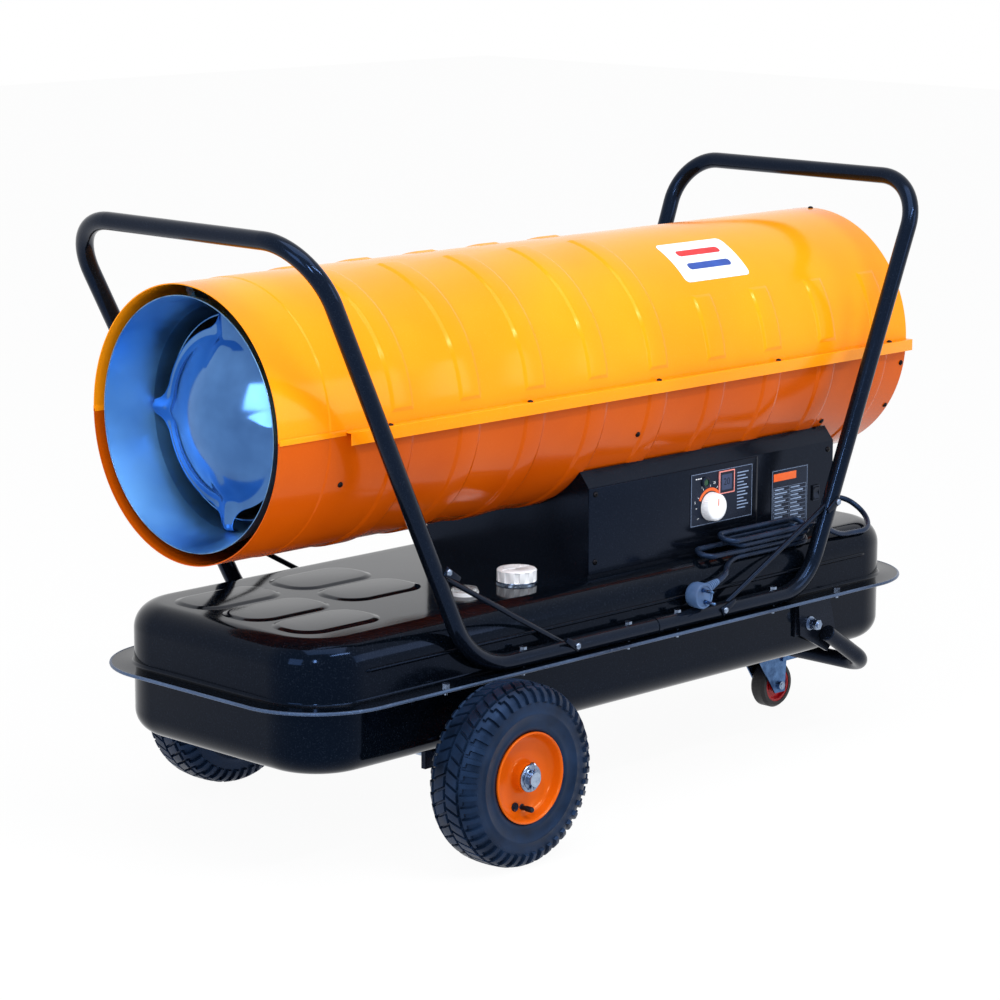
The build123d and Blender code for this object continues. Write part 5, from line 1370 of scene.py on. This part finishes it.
def curved_label(name, length, height, corner, middle, lift):
    """Thin rounded label on the barrel, about a place along it and an angle up from the seam."""
    label = rounded_plane(name, length, height, corner, (middle[0], 0, 0), 6)
    open_piece(label)
    for strip in range(1, label_strips):
        y = height * (strip / label_strips - 0.5)
        bpy.ops.mesh.select_all(action="SELECT")
        bpy.ops.mesh.bisect(plane_co=(0, y, 0), plane_no=(0, 1, 0))
    close_piece()
    for corner_point in label.data.vertices:
        radius = barrel_radius + lift
        angle = math.radians(middle[1]) + corner_point.co.y / radius
        out = Vector((0, -math.cos(angle), math.sin(angle)))
        corner_point.co = Vector((corner_point.co.x, 0, barrel_height)) + out * radius
    point_outwards(label)
    thicken(label, 0.12 * mm, 0)
    smooth(label, 40)
    return label


def make_labels():
    field = curved_label("plain_label", *label_size, (label_middle_x, 54), label_lift)
    dress(field, print_white, "heater", "barrel_paint")
    warm = curved_label("label_band_warm", *label_band_size, (label_middle_x, 58.5), label_band_lift)
    dress(warm, print_red, "heater", "barrel_paint")
    cool = curved_label("label_band_cool", *label_band_size, (label_middle_x, 50), label_band_lift)
    dress(cool, print_blue, "heater", "barrel_paint")


# Power cord
cord_radius = 4.3 * mm
hank_tilt = math.radians(20)
hank_pitch = 9.7 * mm
hank_width = 32 * mm
hank_near_y = -208 * mm
hank_near_z = 332.7 * mm
hank_left_ends = (192 * mm, 255 * mm, 236 * mm)
hank_right_ends = (398 * mm, 388 * mm, 394 * mm)
fold_share = math.radians(30)


def hank_place(x, level, across):
    lift, reach = hank_pitch * level, hank_width * across
    y = hank_near_y - math.sin(hank_tilt) * lift + math.cos(hank_tilt) * reach
    z = hank_near_z + math.cos(hank_tilt) * lift + math.sin(hank_tilt) * reach
    return Vector((x, y, z))


def fold_points(start, end, heading):
    """Control points round one fold of the hank, which turns from one run into the next."""
    radius = (end - start).length / 2
    out = Vector((heading, 0, 0)) * radius
    lead = out * math.tan(fold_share)
    tip = (start + end) / 2 + out / math.cos(fold_share)
    return [start - lead, start + lead, tip, end + lead, end - lead]


def hank_points():
    """The hank from its upper near run down to its lowest near run."""
    points = []
    for level in (2, 1, 0):
        left, right = hank_left_ends[level], hank_right_ends[level]
        upper = hank_place(left, level + 1, 0)
        far_left = hank_place(left, level + 0.5, 1)
        far_right = hank_place(right, level + 0.5, 1)
        lower = hank_place(right, level, 0)
        points += fold_points(upper, far_left, -1)
        points += fold_points(far_right, lower, 1)
    return points


cord_start = (534 * mm, -146 * mm, 374 * mm)
gland_run = (
    cord_start,
    (570 * mm, -146 * mm, 374 * mm),
    (589 * mm, -178 * mm, 349 * mm),
    (560 * mm, -212 * mm, 330 * mm),
    (520 * mm, -209.5 * mm, 330 * mm),
    (490 * mm, -210 * mm, 331 * mm),
    (460 * mm, -211 * mm, 343 * mm),
    (430 * mm, -213 * mm, 358 * mm),
    (402 * mm, -217.95 * mm, 360.05 * mm),
)
plug_run = (
    (262 * mm, -208 * mm, 332.7 * mm),
    (238 * mm, -208 * mm, 332.7 * mm),
    (210 * mm, -216 * mm, 325 * mm),
    (191.1 * mm, -232.8 * mm, 315.4 * mm),
    (171.8 * mm, -232.8 * mm, 310.2 * mm),
)


def power_cord():
    line = bpy.data.curves.new("power_lead", "CURVE")
    line.dimensions = "3D"
    line.bevel_depth = cord_radius
    line.bevel_resolution = 5
    line.resolution_u = 10
    line.use_fill_caps = True
    route = [Vector(p) for p in gland_run] + hank_points() + [Vector(p) for p in plug_run]
    spline = line.splines.new("NURBS")
    spline.points.add(len(route) - 1)
    for point, place in zip(spline.points, route):
        point.co = (*place, 1)
    spline.order_u = 3
    spline.use_endpoint_u = True
    line.materials.append(cord_jacket)
    lead = bpy.data.objects.new("power_lead", line)
    bpy.context.scene.collection.objects.link(lead)
    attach(lead, "heater")
    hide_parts("power_cord", "cord_hank")
    return lead


lead = power_cord()
plug_body, plug_pins = make_plug()
gland = make_gland()

make_barrel()
make_screws()
make_deflector()
make_outlet_trim()
make_tyres()
make_rims()
make_axle_ends()
make_tank()
make_pads()
make_flange_bead()
make_cap()
make_cover()
make_panel()
make_knob()
make_brace_ends()
make_tube_ends()
make_labels()


# Floor, world and lights
def either(tree, first, second):
    """Node output that is one where either input is one."""
    node = tree.nodes.new("ShaderNodeMath")
    node.operation = "MAXIMUM"
    tree.links.new(first, node.inputs[0])
    tree.links.new(second, node.inputs[1])
    return node.outputs[0]


def mix_surfaces(tree, share, first, second, output):
    mix = tree.nodes.new("ShaderNodeMixShader")
    tree.links.new(share, mix.inputs["Fac"])
    tree.links.new(first.outputs[0], mix.inputs[1])
    tree.links.new(second.outputs[0], mix.inputs[2])
    tree.links.new(mix.outputs[0], tree.nodes[output].inputs["Surface"])


def set_stage():
    bpy.ops.object.select_all(action="DESELECT")
    bpy.ops.mesh.primitive_plane_add(size=24, location=(0, 0, 0))
    floor = bpy.context.object
    floor.name = "studio_floor"
    pale = bpy.data.materials.new("studio_floor")
    pale.use_nodes = True
    tree = pale.node_tree
    shader = tree.nodes["Principled BSDF"]
    shader.inputs["Base Color"].default_value = (0.86, 0.86, 0.87, 1)
    shader.inputs["Roughness"].default_value = 0.9
    glow = tree.nodes.new("ShaderNodeEmission")
    rays = tree.nodes.new("ShaderNodeLightPath")
    seen = either(tree, rays.outputs["Is Camera Ray"], rays.outputs["Is Glossy Ray"])
    shown = tree.nodes.new("ShaderNodeMath")
    shown.operation = "MULTIPLY"
    shown.inputs[1].default_value = 0.95
    tree.links.new(seen, shown.inputs[0])
    mix_surfaces(tree, shown.outputs[0], shader, glow, "Material Output")
    floor.data.materials.append(pale)


def set_world():
    world = bpy.data.worlds.new("studio")
    bpy.context.scene.world = world
    world.use_nodes = True
    tree = world.node_tree
    soft = tree.nodes["Background"]
    soft.inputs["Color"].default_value = (0.94, 0.97, 1.0, 1)
    soft.inputs["Strength"].default_value = 0.6
    white = tree.nodes.new("ShaderNodeBackground")
    white.inputs["Color"].default_value = (1, 1, 1, 1)
    white.inputs["Strength"].default_value = 1
    rays = tree.nodes.new("ShaderNodeLightPath")
    seen = either(tree, rays.outputs["Is Camera Ray"], rays.outputs["Is Glossy Ray"])
    seen = either(tree, seen, rays.outputs["Is Transmission Ray"])
    mix_surfaces(tree, seen, soft, white, "World Output")


def soft_light(name, place, target, width, height, power, tint=(1, 1, 1)):
    lamp = bpy.data.lights.new(name, "AREA")
    lamp.shape = "RECTANGLE"
    lamp.size = width
    lamp.size_y = height
    lamp.energy = power
    lamp.color = tint
    holder = bpy.data.objects.new(name, lamp)
    bpy.context.scene.collection.objects.link(holder)
    holder.location = place
    holder.rotation_euler = (Vector(target) - Vector(place)).to_track_quat("-Z", "Y").to_euler()


set_stage()
set_world()
soft_light("overhead", (-0.6, -1.0, 3.4), (0, 0, 0.5), 3.0, 2.0, 75)
soft_light("side_fill", (1.8, -3.4, 1.6), (0.2, 0, 0.5), 1.6, 1.6, 24, (0.86, 0.92, 1.0))
soft_light("front_fill", (-3.4, -0.6, 1.5), (-0.5, 0, 0.5), 1.2, 1.2, 26, (0.86, 0.92, 1.0))
soft_light("long_strip", (-0.2, -2.2, 2.6), (0, 0, 0.6), 1.6, 0.12, 34)
soft_light("front_strip", (-2.4, -1.9, 1.7), (-0.4, 0, 0.5), 0.2, 0.5, 20)
